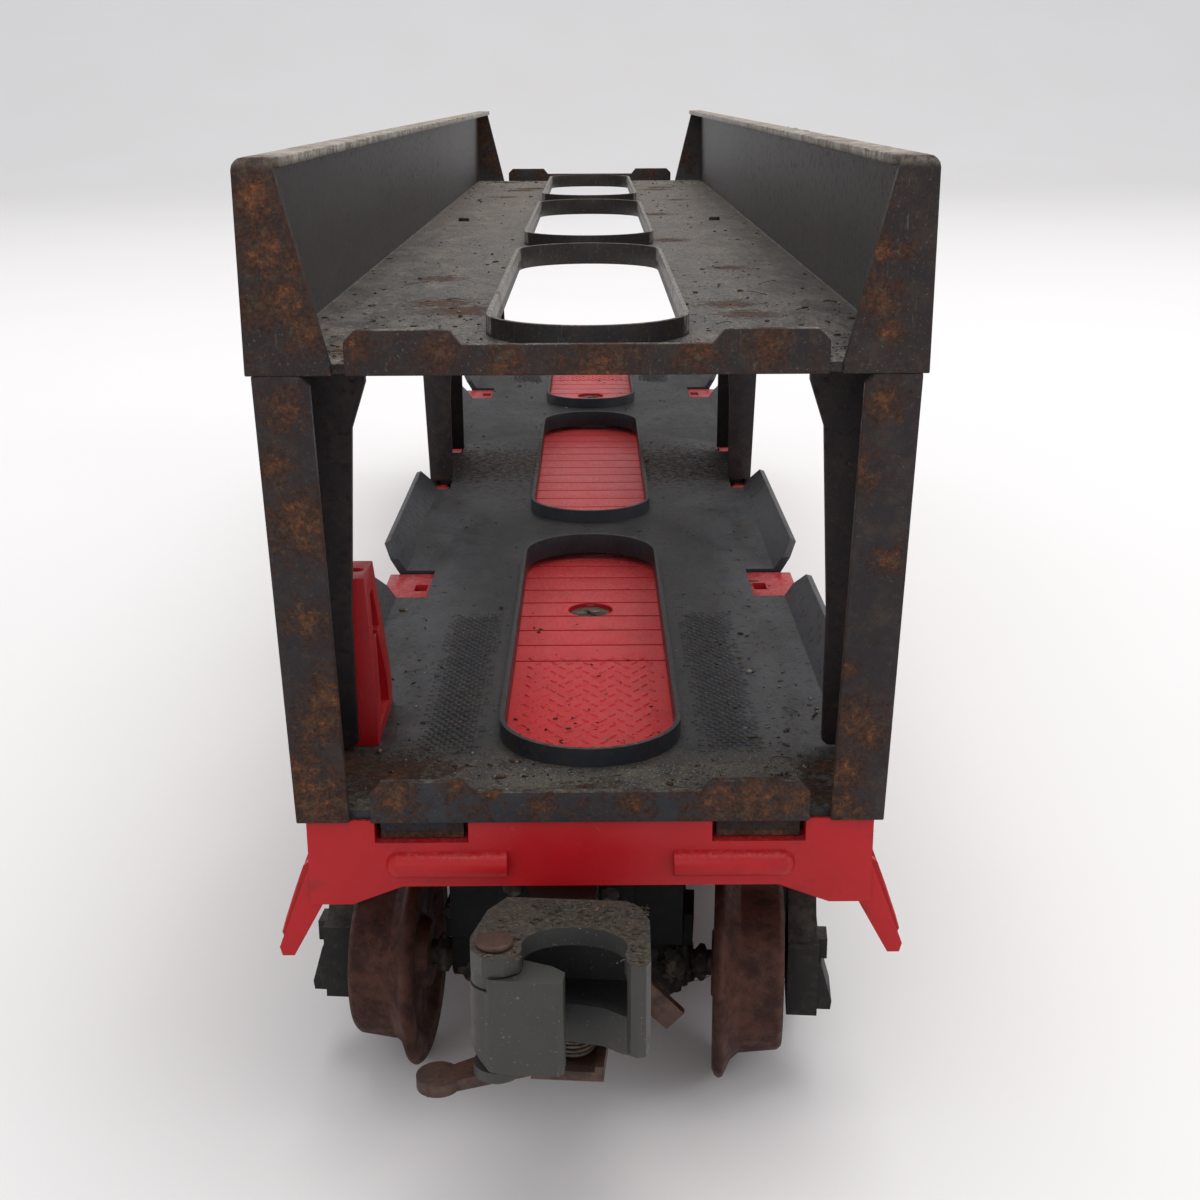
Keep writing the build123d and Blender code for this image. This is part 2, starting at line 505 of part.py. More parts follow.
def make_release_plate():
    """Bent steel cup under the jaw with a finger lever at -X and a tail towards the axle."""
    cx, cy = RELEASE_XY
    z = RELEASE_Z
    base = slab(cx - 3.1, cx + 2.5, cy - 2.9, cy + 6.0, z, z + 0.8)
    wall = slab(cx + 1.8, cx + 2.5, cy - 2.9, cy + 6.0, z, z + 1.3)
    lever = plate_xy([(cx - 2.4, cy - 1.4), (cx - 2.4, cy + 3.0), (-6.6, cy - 2.0), (-8.3, cy - 5.2)],
                     z - 0.5, z + 0.5)
    lever = lever + post(-7.7, cy - 3.5, 1.7, z - 0.5, z + 0.5)
    tail = slab(cx - 0.6, cx + 3.4, cy + 5.2, -28.0, z, z + 0.8)
    tongue = plate_xz([(cx + 1.2, z + 0.8), (cx + 3.4, z + 0.8), (cx + 8.1, 9.4), (cx + 6.6, 7.8),
                       (cx + 1.2, z - 0.6)], -28.8, -28.0)
    plate = base + wall + lever + tail + tongue
    return plate - post(cx, cy, 0.8 + RUN_CLEARANCE, 5, 20)


def make_release_rivet():
    cx, cy = RELEASE_XY
    return post(cx, cy, 0.8, RELEASE_Z - 0.9, 18.0) + post(cx, cy, 1.6, RELEASE_Z - 0.9, RELEASE_Z - 0.1)


def make_release_spring():
    """Coil between the jaw and the release plate, drawn as a stack of joined turns."""
    cx, cy = RELEASE_XY
    z0, z1 = RELEASE_Z + 0.85, JAW_Z[0] - 0.05
    turns = 4
    height = (z1 - z0) / turns
    coil = post(cx, cy, 1.35, z0, z1)
    for turn in range(turns):
        coil = coil + post(cx, cy, 1.7, z0 + height * turn + 0.08, z0 + height * (turn + 1) - 0.08)
    return coil - post(cx, cy, 0.95, z0 - 1, z1 + 1)


# ---- build and write every node ------------------------------------------------------
os.makedirs("parts", exist_ok=True)

save("car_body", make_car_body())
save("centre_sill", make_centre_sill())
save("body_screws", make_body_screws())
save("lower_deck", make_lower_deck())
save("upper_deck", make_upper_deck())
save("brake_stand", make_brake_stand())

corner = make_corner_post()
opposite = mirror(corner, about=Plane.YZ)
save("corner_post_front_right", corner)
save("corner_post_front_left", opposite)
save("corner_post_rear_left", Rot(0, 0, 180) * corner)
save("corner_post_rear_right", Rot(0, 0, 180) * opposite)
middle = make_middle_post()
save("middle_post_right", middle)
save("middle_post_left", mirror(middle, about=Plane.YZ))

for end, sign, turn in (("front", -1, 0), ("rear", 1, 180)):
    place = Pos(0, sign * PIVOT_Y, 0) * Rot(0, 0, turn + BOGIE_YAW)
    save(f"{end}_king_pin", make_king_pin(sign))
    save(f"{end}_bolster", place * make_bolster())
    frame_right = make_side_frame()
    save(f"{end}_side_frame_a", place * mirror(frame_right, about=Plane.YZ))
    save(f"{end}_side_frame_b", place * frame_right)
    for name, y in (("outer", -HALF_WHEELBASE), ("inner", HALF_WHEELBASE)):
        save(f"{end}_{name}_axle", place * make_axle(y))
        save(f"{end}_{name}_wheel_a", place * make_wheel(y, -1))
        save(f"{end}_{name}_wheel_b", place * make_wheel(y, 1))
    save(f"{end}_coupler", place * make_coupler())
    save(f"{end}_knuckle", place * make_knuckle())
    save(f"{end}_knuckle_pin", place * make_knuckle_pin())
    save(f"{end}_release_plate", place * make_release_plate())
    save(f"{end}_release_rivet", place * make_release_rivet())
    save(f"{end}_release_spring", place * make_release_spring())
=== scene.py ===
import math
import random

import bmesh
import bpy
from mathutils import Matrix, Vector, noise


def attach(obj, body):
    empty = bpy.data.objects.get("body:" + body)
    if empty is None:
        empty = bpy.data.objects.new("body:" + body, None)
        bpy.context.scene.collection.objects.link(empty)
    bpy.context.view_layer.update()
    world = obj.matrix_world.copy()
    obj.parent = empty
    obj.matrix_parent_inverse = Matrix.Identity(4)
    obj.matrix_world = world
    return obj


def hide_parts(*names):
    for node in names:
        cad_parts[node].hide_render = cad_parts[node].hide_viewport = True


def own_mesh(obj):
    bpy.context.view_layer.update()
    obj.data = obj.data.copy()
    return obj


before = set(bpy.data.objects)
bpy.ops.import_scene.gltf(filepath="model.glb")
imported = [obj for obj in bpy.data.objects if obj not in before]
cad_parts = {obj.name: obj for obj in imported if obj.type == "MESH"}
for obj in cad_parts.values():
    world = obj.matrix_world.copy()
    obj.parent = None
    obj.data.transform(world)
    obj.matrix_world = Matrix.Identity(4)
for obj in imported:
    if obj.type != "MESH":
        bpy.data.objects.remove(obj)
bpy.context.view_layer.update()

MM = 0.001

# ---- studio --------------------------------------------------------------------------
# The wagon stands on a pale paper sweep that curves up behind it. The room is evenly
# bright, with one soft light overhead and two weaker ones at the front and the right.
sweep_half_width, sweep_near_y, sweep_flat_y, sweep_bend = 3.5, -3.0, 1.2, 1.0
camera_place = Vector((0.38, -248.65, 85.21)) * MM
camera_pitch, camera_yaw, camera_roll = 17.33, 0.23, -0.25

camera_data = bpy.data.cameras.new("studio_camera")
camera_data.lens = 49.1
camera_data.sensor_width = 36.0
camera_data.clip_start = 0.005
camera_data.clip_end = 20.0
camera = bpy.data.objects.new("studio_camera", camera_data)
bpy.context.scene.collection.objects.link(camera)
camera.matrix_world = (Matrix.Translation(camera_place)
                       @ Matrix.Rotation(math.radians(-camera_yaw), 4, "Z")
                       @ Matrix.Rotation(math.radians(90.0 - camera_pitch), 4, "X")
                       @ Matrix.Rotation(math.radians(camera_roll), 4, "Z"))
bpy.context.scene.camera = camera
bpy.context.scene.view_settings.view_transform = "Standard"


def link_mesh(name, mesh):
    piece = bpy.data.objects.new(name, mesh)
    bpy.context.scene.collection.objects.link(piece)
    return piece


paper = bpy.data.materials.new("sweep_paper")
paper.use_nodes = True
paper_nodes, paper_links = paper.node_tree.nodes, paper.node_tree.links
paper_shader = paper_nodes["Principled BSDF"]
paper_shader.inputs["Roughness"].default_value = 0.8
paper_shader.inputs["Specular IOR Level"].default_value = 0.2
paper_fibre = paper_nodes.new("ShaderNodeTexNoise")
paper_fibre.inputs["Scale"].default_value = 9.0
paper_fibre.inputs["Detail"].default_value = 8.0
paper_tint = paper_nodes.new("ShaderNodeMix")
paper_tint.data_type = "RGBA"
paper_tint.inputs[6].default_value = (0.765, 0.745, 0.735, 1)
paper_tint.inputs[7].default_value = (0.80, 0.785, 0.78, 1)
paper_links.new(paper_nodes.new("ShaderNodeTexCoord").outputs["Object"], paper_fibre.inputs["Vector"])
paper_links.new(paper_fibre.outputs["Fac"], paper_tint.inputs[0])
paper_links.new(paper_tint.outputs[2], paper_shader.inputs["Base Color"])

sweep = bmesh.new()
sweep_rows = []
for step in range(40):
    if step < 20:
        y, z = sweep_near_y + (sweep_flat_y - sweep_near_y) * step / 19, 0.0
    else:
        bend = (step - 19) / 20 * math.pi / 2
        y, z = sweep_flat_y + sweep_bend * math.sin(bend), sweep_bend * (1 - math.cos(bend))
    sweep_rows.append([sweep.verts.new((x, y, z)) for x in (-sweep_half_width, sweep_half_width)])
for near_row, far_row in zip(sweep_rows, sweep_rows[1:]):
    sweep.faces.new((near_row[0], near_row[1], far_row[1], far_row[0]))
sweep_mesh = bpy.data.meshes.new("paper_sweep")
sweep.to_mesh(sweep_mesh)
sweep.free()
sweep_mesh.materials.append(paper)
sweep_mesh.polygons.foreach_set("use_smooth", [True] * len(sweep_mesh.polygons))
link_mesh("paper_sweep", sweep_mesh)

room = bpy.data.worlds.new("studio_room")
room.use_nodes = True
room.node_tree.nodes["Background"].inputs["Color"].default_value = (0.95, 0.965, 1.0, 1)
room.node_tree.nodes["Background"].inputs["Strength"].default_value = 0.77
bpy.context.scene.world = room


def soft_light(name, place, aim, size, watts, colour):
    lamp = bpy.data.lights.new(name, "AREA")
    lamp.shape = "RECTANGLE"
    lamp.size, lamp.size_y = size
    lamp.energy = watts
    lamp.color = colour
    holder = bpy.data.objects.new(name, lamp)
    bpy.context.scene.collection.objects.link(holder)
    holder.location = place
    holder.rotation_euler = (Vector(aim) - Vector(place)).to_track_quat("-Z", "Y").to_euler()


soft_light("overhead_light", (0.15, 0.15, 1.2), (0, 0, 0), (1.0, 1.0), 9.8, (1.0, 0.985, 0.97))
soft_light("front_light", (-0.45, -1.2, 0.7), (0, -0.1, 0.03), (0.8, 0.6), 1.7, (1.0, 0.99, 0.98))
soft_light("right_light", (1.2, -0.4, 0.6), (0, 0, 0.04), (0.7, 0.7), 2.2, (0.97, 0.98, 1.0))

# ---- red moulded wagon body ----------------------------------------------------------
# The flat wagon body is one injection moulding in bright red plastic: end beams, sills,
# plank floor and corner steps. It is scuffed at its corners, with dust on what faces up.
red_deep, red_bright, red_planks_painted_light = (0.34, 0.004, 0.007), (0.46, 0.010, 0.015), (0.60, 0.018, 0.024)
red_scuff, red_dirt, red_dust = (0.62, 0.13, 0.12), (0.13, 0.012, 0.012), (0.66, 0.24, 0.23)
planks_half_width, planks_half_length, floor_top_z = 9.5, 120.0, 28.0


def softened(node, name, body, width_mm, segments=2, angle=30.0):
    """A copy of a CAD node with its sharp edges rounded, which stands in for that node."""
    work = bmesh.new()
    work.from_mesh(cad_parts[node].data)
    bmesh.ops.remove_doubles(work, verts=work.verts, dist=2e-6)
    bmesh.ops.dissolve_limit(work, angle_limit=math.radians(0.6), verts=work.verts, edges=work.edges)
    sharp = [e for e in work.edges
             if len(e.link_faces) == 2 and e.calc_face_angle(0.0) > math.radians(angle)]
    bmesh.ops.bevel(work, geom=sharp, offset=width_mm * MM, segments=segments, profile=0.6,
                    affect="EDGES", clamp_overlap=True, harden_normals=False)
    bmesh.ops.triangulate(work, faces=[f for f in work.faces if len(f.verts) > 4])
    mesh = bpy.data.meshes.new(name)
    work.to_mesh(mesh)
    work.free()
    mesh.polygons.foreach_set("use_smooth", [True] * len(mesh.polygons))
    mesh.set_sharp_from_angle(angle=math.radians(35))
    piece = link_mesh(name, mesh)
    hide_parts(node)
    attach(piece, body)
    return piece


def finish_piece(piece, material):
    piece.data.materials.clear()
    piece.data.materials.append(material)


class Finish:
    """A surface finish under construction: its shader and the nodes that feed it."""

    def __init__(self, name, roughness=0.5, metallic=0.0, specular=0.5):
        self.material = bpy.data.materials.new(name)
        self.material.use_nodes = True
        self.nodes = self.material.node_tree.nodes
        self.links = self.material.node_tree.links
        self.shader = self.nodes["Principled BSDF"]
        self.shader.inputs["Roughness"].default_value = roughness
        self.shader.inputs["Metallic"].default_value = metallic
        self.shader.inputs["Specular IOR Level"].default_value = specular
        self.place = self.nodes.new("ShaderNodeTexCoord").outputs["Object"]
        self.normal = self.nodes.new("ShaderNodeNewGeometry").outputs["Normal"]

    def feed(self, socket, value):
        if isinstance(value, bpy.types.NodeSocket):
            self.links.new(value, socket)
        elif isinstance(value, tuple) and len(value) == 3 and socket.type == "RGBA":
            socket.default_value = (*value, 1.0)
        else:
            socket.default_value = value

    def cloud(self, grain_mm, detail=5.0, rough=0.6, shift=0.0, stretch=None):
        """Soft noise whose lumps are about grain_mm across."""
        moved = self.nodes.new("ShaderNodeMapping")
        moved.inputs["Location"].default_value = (shift * 0.011, shift * 0.007, shift * 0.013)
        if stretch:
            moved.inputs["Scale"].default_value = stretch
        self.links.new(self.place, moved.inputs["Vector"])
        tex = self.nodes.new("ShaderNodeTexNoise")
        tex.inputs["Scale"].default_value = 1.0 / (grain_mm * MM)
        tex.inputs["Detail"].default_value = detail
        tex.inputs["Roughness"].default_value = rough
        self.links.new(moved.outputs["Vector"], tex.inputs["Vector"])
        return tex.outputs["Fac"]

    def band(self, value, low, high):
        """0 at low and 1 at high, smooth between them, whichever of the two is larger."""
        ramp = self.nodes.new("ShaderNodeMapRange")
        ramp.interpolation_type = "SMOOTHSTEP"
        flip = high < low
        self.links.new(value, ramp.inputs["Value"])
        ramp.inputs["From Min"].default_value = min(low, high)
        ramp.inputs["From Max"].default_value = max(low, high)
        ramp.inputs["To Min"].default_value = 1.0 if flip else 0.0
        ramp.inputs["To Max"].default_value = 0.0 if flip else 1.0
        return ramp.outputs["Result"]

    def calc(self, how, a, b=0.0):
        step = self.nodes.new("ShaderNodeMath")
        step.operation = how
        step.use_clamp = how in ("ADD", "MULTIPLY", "SUBTRACT")
        self.feed(step.inputs[0], a)
        self.feed(step.inputs[1], b)
        return step.outputs[0]

    def times(self, *values):
        total = values[0]
        for value in values[1:]:
            total = self.calc("MULTIPLY", total, value)
        return total

    def plus(self, *values):
        total = values[0]
        for value in values[1:]:
            total = self.calc("ADD", total, value)
        return total

    def blend(self, amount, under, over):
        mix = self.nodes.new("ShaderNodeMix")
        mix.data_type = "RGBA"
        self.feed(mix.inputs[0], amount)
        self.feed(mix.inputs[6], under)
        self.feed(mix.inputs[7], over)
        return mix.outputs[2]

    def axis(self, which, source=None):
        split = self.nodes.new("ShaderNodeSeparateXYZ")
        self.links.new(source or self.place, split.inputs[0])
        return split.outputs[which]

    def out_from_middle(self, which, low_mm, high_mm):
        """0 below low_mm from the middle plane of that axis, 1 beyond high_mm."""
        return self.band(self.calc("ABSOLUTE", self.axis(which)), low_mm * MM, high_mm * MM)

    def facing_up(self, low=0.5, high=0.95):
        return self.band(self.axis("Z", self.normal), low, high)

    def folded(self):
        """The place with y taken without its sign, so that both ends of the wagon read alike."""
        join = self.nodes.new("ShaderNodeCombineXYZ")
        self.links.new(self.axis("X"), join.inputs[0])
        self.links.new(self.calc("ABSOLUTE", self.axis("Y")), join.inputs[1])
        self.links.new(self.axis("Z"), join.inputs[2])
        return join.outputs[0]

    def near(self, x, y, z, radius_mm, source=None):
        """1 at a point on the wagon, fading to 0 at twice radius_mm from it."""
        gap = self.nodes.new("ShaderNodeVectorMath")
        gap.operation = "DISTANCE"
        self.links.new(source or self.place, gap.inputs[0])
        gap.inputs[1].default_value = (x * MM, y * MM, z * MM)
        return self.band(gap.outputs["Value"], 2.0 * radius_mm * MM, 0.0)

    def colour(self, value):
        self.feed(self.shader.inputs["Base Color"], value)

    def roughness(self, value):
        self.feed(self.shader.inputs["Roughness"], value)

    def relief(self, height, depth_mm, strength=0.6):
        bump = self.nodes.new("ShaderNodeBump")
        bump.inputs["Distance"].default_value = depth_mm * MM
        bump.inputs["Strength"].default_value = strength
        self.links.new(height, bump.inputs["Height"])
        self.links.new(bump.outputs["Normal"], self.shader.inputs["Normal"])


def moulded_red():
    f = Finish("moulded_red", roughness=0.4, specular=0.28)
    red = f.blend(f.cloud(9.0, detail=4), red_deep, red_bright)
    # painted light: the plank floor inside the cut-outs is painted a brighter red, where light falls
    # through the deck openings
    on_planks = f.times(f.out_from_middle("X", planks_half_width + 0.5, planks_half_width),
                        f.out_from_middle("Y", planks_half_length + 1.0, planks_half_length))
    red = f.blend(on_planks, red, red_planks_painted_light)
    scuff = f.band(f.cloud(1.1, detail=8, rough=0.75, shift=3.0), 0.60, 0.72)
    red = f.blend(f.times(scuff, 0.22), red, red_scuff)
    dirt = f.band(f.cloud(5.0, detail=8, rough=0.7, shift=7.0), 0.52, 0.75)
    low = f.band(f.axis("Z"), 25.0 * MM, 22.0 * MM)
    red = f.blend(f.plus(f.times(dirt, 0.40), f.times(low, dirt, 0.4)), red, red_dirt)
    # fine pale dust lies on everything that faces up, thicker away from the end
    grains = f.band(f.cloud(0.35, detail=6, rough=0.8, shift=1.0), 0.42, 0.72)
    hazy = f.plus(f.times(f.band(f.axis("Y"), -105 * MM, -30 * MM), 0.62), 0.26)
    red = f.blend(f.times(f.facing_up(), grains, hazy), red, red_dust)
    # dirt settles in the grooves between the planks
    groove = f.times(f.band(f.axis("Z"), (floor_top_z - 0.05) * MM, (floor_top_z - 0.2) * MM),
                     f.band(f.axis("Z"), (floor_top_z - 0.6) * MM, (floor_top_z - 0.35) * MM))
    red = f.blend(f.times(groove, on_planks, 0.5), red, red_dirt)
    specks = f.times(f.facing_up(), f.band(f.cloud(0.4, detail=4, rough=0.8, shift=9.0), 0.60, 0.66))
    red = f.blend(f.times(specks, 0.6), red, (0.07, 0.02, 0.014))
    f.colour(red)
    f.roughness(f.plus(f.times(f.cloud(2.0, shift=5.0), 0.3), 0.24))
    f.relief(f.cloud(0.6, detail=6, rough=0.6), 0.05, 0.3)
    return f.material


red_plastic = moulded_red()
wagon_body = softened("car_body", "wagon_body", "wagon", 0.16)
finish_piece(wagon_body, red_plastic)

# ---- tread pattern on the plank floor ------------------------------------------------
# The ends of the floor carry a moulded pattern of short raised bars, set in alternate
# directions. They are part of the same red moulding and show through the end cut-outs.
tread_bar, tread_bar_height = (0.62, 0.26), 0.10
tread_columns, tread_rows = 8, 24
tread_column_pitch, tread_row_pitch = 1.65, 1.35
tread_start_y = 86.2


def join_rings(work, ring, following):
    for k in range(len(ring)):
        after = (k + 1) % len(ring)
        work.faces.new((ring[k], ring[after], following[after], following[k]))


def raised_bar(work, x, y, z, length, width, height, turn=0.0, taper=0.6):
    """A low bar with sloping sides, standing on a surface."""
    rim = [(-0.5, -0.5), (0.5, -0.5), (0.5, 0.5), (-0.5, 0.5)]
    spin = Matrix.Rotation(turn, 2)
    rings = []
    for share, lift in ((1.0, -0.02), (taper, height)):
        ring = []
        for a, b in rim:
            flat = spin @ Vector((a * length * (1 - (1 - share) * width / length), b * width * share))
            ring.append(work.verts.new(((x + flat.x) * MM, (y + flat.y) * MM, (z + lift) * MM)))
        rings.append(ring)
    work.faces.new(rings[1])
    join_rings(work, *rings)


def mesh_piece(work, name, body, material, smooth=True):
    mesh = bpy.data.meshes.new(name)
    bmesh.ops.recalc_face_normals(work, faces=work.faces)
    work.to_mesh(mesh)
    work.free()
    mesh.polygons.foreach_set("use_smooth", [smooth] * len(mesh.polygons))
    piece = link_mesh(name, mesh)
    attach(piece, body)
    finish_piece(piece, material)
    return piece


tread = bmesh.new()
for end in (-1, 1):
    for row in range(tread_rows):
        for column in range(tread_columns):
            x = (column - (tread_columns - 1) / 2) * tread_column_pitch + (0.4 if row % 2 else -0.4)
            y = end * (tread_start_y + row * tread_row_pitch)
            slant = math.radians(52 if (row + column) % 2 else -52)
            raised_bar(tread, x, y, floor_top_z, tread_bar[0] * 1.45, tread_bar[1], tread_bar_height, slant)
mesh_piece(tread, "floor_tread", "wagon", red_plastic)

# ---- ribs of the corner steps --------------------------------------------------------
# Each leg of the four stirrup steps is stiffened by a thin rib on its outer edge, moulded
# with the body. The rib stands back from the face of the leg and dies out at its foot.
rib_outline = [(22.95, 22.6), (22.95, 24.7), (23.55, 24.3), (24.45, 22.2), (25.45, 19.3), (25.8, 18.1),
               (25.6, 17.6), (24.9, 18.6), (24.0, 20.6)]
rib_depths = ((-126.3, -125.45), (-122.05, -121.2))

ribs = bmesh.new()
for side in (-1, 1):
    for end in (-1, 1):
        for near_y, far_y in rib_depths:
            faces = []
            for y, inset in ((near_y, 0.12), (near_y + 0.12, 0.0), (far_y, 0.0)):
                middle_x = sum(x for x, z in rib_outline) / len(rib_outline)
                faces.append([ribs.verts.new((side * (x + (inset if x < middle_x else -inset)) * MM,
                                              -end * y * MM, z * MM)) for x, z in rib_outline])
            ribs.faces.new(faces[0])
            ribs.faces.new(faces[-1])
            for first, second in zip(faces, faces[1:]):
                join_rings(ribs, first, second)
mesh_piece(ribs, "step_ribs", "wagon", red_plastic, smooth=False)

# ---- centre sill, body screws and king pins ------------------------------------------
# A folded steel channel under the floor is held by two cross-head screws, whose heads sit
# in wells in the floor. A shouldered pin pressed into the body carries each bogie.
steel_dull, steel_brown, steel_pale = (0.10, 0.085, 0.070), (0.055, 0.026, 0.016), (0.24, 0.21, 0.18)


def worn_steel(name, base, brown, pale, shift, orange=0.0, metallic=0.55):
    """Bare steel gone brown in clouds, paler where it is rubbed."""
    f = Finish(name, roughness=0.5, metallic=metallic)
    rust = f.band(f.cloud(2.6, detail=9, rough=0.75, shift=shift), 0.38, 0.62)
    tone = f.blend(rust, base, brown)
    rubbed = f.band(f.cloud(0.7, detail=8, rough=0.8, shift=shift + 2), 0.60, 0.74)
    tone = f.blend(f.times(rubbed, 0.55), tone, pale)
    if orange:
        fresh = f.band(f.cloud(1.6, detail=9, rough=0.8, shift=shift + 5), 0.58, 0.70)
        tone = f.blend(f.times(fresh, orange), tone, (0.27, 0.085, 0.022))
    f.colour(tone)
    f.roughness(f.plus(f.times(rust, 0.38), 0.36))
    grain = f.cloud(0.4, detail=8, rough=0.8, shift=shift)
    f.relief(f.plus(f.times(rust, 0.5), f.times(grain, 0.5)), 0.09, 0.7)
    return f.material


channel_steel = worn_steel("channel_steel", steel_dull, steel_brown, steel_pale, 81.0, orange=0.5)
screw_steel = worn_steel("screw_steel", (0.17, 0.14, 0.11), (0.07, 0.045, 0.03), (0.42, 0.38, 0.33), 84.0)
finish_piece(softened("centre_sill", "centre_channel", "wagon", 0.18), channel_steel)
finish_piece(softened("body_screws", "cross_head_screws", "wagon", 0.10), screw_steel)
for end in ("front", "rear"):
    king_pin = softened(end + "_king_pin", end + "_pivot_pin", "wagon", 0.20)
    finish_piece(king_pin, screw_steel)

# ---- lower deck ----------------------------------------------------------------------
# One pressed sheet of painted steel with turned-up flaps, end lips and three oval cut-outs
# whose edges stand up as thin collars. The blue-black paint is dusty, with rust at the ends.
lower_top_z = 29.6
lower_paint, lower_sheen = (0.013, 0.015, 0.019), (0.032, 0.037, 0.047)
deck_dust, deck_grit = (0.140, 0.120, 0.092), (0.40, 0.36, 0.30)
rust_dark, rust_brown, rust_orange = (0.017, 0.009, 0.007), (0.080, 0.032, 0.017), (0.27, 0.095, 0.030)
mould_olive = (0.085, 0.072, 0.046)
lower_rust_places = (
    (-15.7, -128, 31.0, 2.2), (-10.8, -128, 32.1, 1.4), (-8.0, -128, 31.6, 1.4), (-4.0, -128, 30.0, 1.6),
    (3.5, -128, 30.4, 1.6), (10.6, -128, 30.9, 2.8), (13.4, -128, 30.8, 3.6), (16.4, -128, 30.3, 2.0),
    (-17.0, -120, 29.6, 5.0), (17.5, -124, 29.6, 3.4), (-21.0, -118, 29.6, 4.0), (20.0, -119, 29.6, 2.2),
    (0.0, -125, 29.6, 3.0), (9.0, -126, 29.6, 2.6), (-9.0, -126, 29.6, 2.4))


def rusted_paint(f, tone, places, shift, spread=0.5, extra=None):
    """Lays rust over paint: brown haloes, orange hearts and dull olive bloom.

    Rust grows round each named place, at both ends of the wagon alike, and in a few random
    patches. Returns the colour and the mask of rust.
    """
    wide = f.cloud(5.5, detail=9, rough=0.74, shift=shift)
    fine = f.cloud(0.9, detail=9, rough=0.82, shift=shift + 3)
    grow = f.times(f.band(wide, 0.50, 0.80), spread)
    either_end = f.folded()
    for x, y, z, radius in places:
        grow = f.calc("MAXIMUM", grow, f.near(x, abs(y), z, radius, either_end))
    if extra is not None:
        grow = f.calc("MAXIMUM", grow, extra)
    halo = f.band(f.calc("ADD", f.times(grow, 0.22), fine), 0.53, 0.72)
    core = f.cloud(1.1, detail=9, rough=0.85, shift=shift + 6)
    heart = f.band(f.calc("ADD", f.times(f.calc("POWER", grow, 1.8), 0.22), core), 0.66, 0.82)
    bloom = f.band(f.cloud(1.0, detail=9, rough=0.8, shift=shift + 9), 0.50, 0.66)
    mottled = f.band(f.cloud(0.35, detail=7, rough=0.8, shift=shift + 1), 0.35, 0.68)
    brown = f.blend(mottled, rust_dark, rust_brown)
    tone = f.blend(f.times(halo, 0.9), tone, brown)
    tone = f.blend(f.times(bloom, halo, 0.7), tone, mould_olive)
    glowing = f.band(f.cloud(0.4, detail=7, rough=0.85, shift=shift + 2), 0.42, 0.68)
    hot = f.blend(glowing, rust_brown, rust_orange)
    tone = f.blend(f.times(heart, 0.9), tone, hot)
    return tone, halo


def painted_sheet(name, dark, light, places, shift, dust_amount, spread=0.5, film_amount=0.5,
                  painted_sheen_sides=None, extra=None):
    """Old paint on pressed steel: cloudy, specked and scratched, dusty on top and rusting."""
    f = Finish(name, roughness=0.45, specular=0.2)
    tone = f.blend(f.cloud(11.0, detail=6, rough=0.6, shift=shift), dark, light)
    # painted sheen: upward faces out towards the sides are painted lighter and bluer in stretched patches,
    # a painted reflection of the light
    if painted_sheen_sides:
        patches = f.cloud(3.5, detail=7, rough=0.7, shift=shift + 16, stretch=(1.0, 0.35, 1.0))
        patches = f.band(patches, 0.36, 0.60)
        out = f.times(f.out_from_middle("X", *painted_sheen_sides), f.facing_up(), patches)
        tone = f.blend(f.times(out, 0.8), tone, (0.062, 0.069, 0.082))
    # thin brown film and tiny chips all over
    film = f.band(f.cloud(2.2, detail=9, rough=0.82, shift=shift + 12), 0.44, 0.66)
    tone = f.blend(f.times(film, film_amount), tone, (0.052, 0.036, 0.026))
    chips = f.band(f.cloud(0.45, detail=6, rough=0.85, shift=shift + 14), 0.58, 0.68)
    tone = f.blend(f.times(chips, 0.5), tone, (0.13, 0.105, 0.078))
    # dust lying on top, with pale and dark grains in it
    drift = f.band(f.cloud(4.0, detail=9, rough=0.78, shift=shift + 4), 0.36, 0.70)
    by_ends = f.plus(f.times(f.out_from_middle("Y", 113.0, 122.0), 0.95), 0.26)
    lying = f.times(f.facing_up(), by_ends, f.plus(f.times(drift, dust_amount), dust_amount * 0.2))
    tone = f.blend(lying, tone, deck_dust)
    grit = f.band(f.cloud(0.26, detail=5, rough=0.85, shift=shift + 8), 0.55, 0.64)
    tone = f.blend(f.times(grit, f.facing_up(), by_ends, 0.75), tone, deck_grit)
    pepper = f.band(f.cloud(0.40, detail=5, rough=0.85, shift=shift + 10), 0.43, 0.35)
    tone = f.blend(f.times(pepper, f.facing_up(), 0.85), tone, (0.006, 0.005, 0.005))
    tone, rust = rusted_paint(f, tone, places, shift, spread, extra(f) if extra else None)
    f.colour(tone)
    f.roughness(f.plus(f.times(rust, 0.38), f.times(lying, 0.5), 0.38))
    grain = f.cloud(0.45, detail=9, rough=0.8, shift=shift + 2)
    f.relief(f.plus(f.times(rust, 0.45), f.times(grain, 0.45)), 0.11, 0.6)
    return f.material


def below_deck_rust(f):
    """The lower deck rusts across its middle, and on the tabs bent down into the beams."""
    across = f.times(f.band(f.calc("ABSOLUTE", f.axis("Y")), 24 * MM, 2 * MM), f.facing_up(), 0.60)
    tabs = f.band(f.axis("Z"), 27.9 * MM, 27.2 * MM)
    return f.plus(across, tabs)


lower_finish = painted_sheet("lower_deck_paint", lower_paint, lower_sheen, lower_rust_places, 11.0,
                             dust_amount=0.88, spread=0.42, painted_sheen_sides=(10.0, 18.0), extra=below_deck_rust)
lower_sheet = softened("lower_deck", "lower_deck_sheet", "wagon", 0.13)
finish_piece(lower_sheet, lower_finish)

# ---- tread strips of the lower deck --------------------------------------------------
# Four strips near the ends, where car wheels run, are embossed with rows of small bricks.
# They are pressed into the same sheet and painted with it, worn low along their edges.
strip_x, strip_y = (9.9, 16.4), (75.5, 116.0)
brick, brick_height = (0.56, 0.36), 0.20
brick_column_pitch, brick_row_pitch = 0.82, 0.62

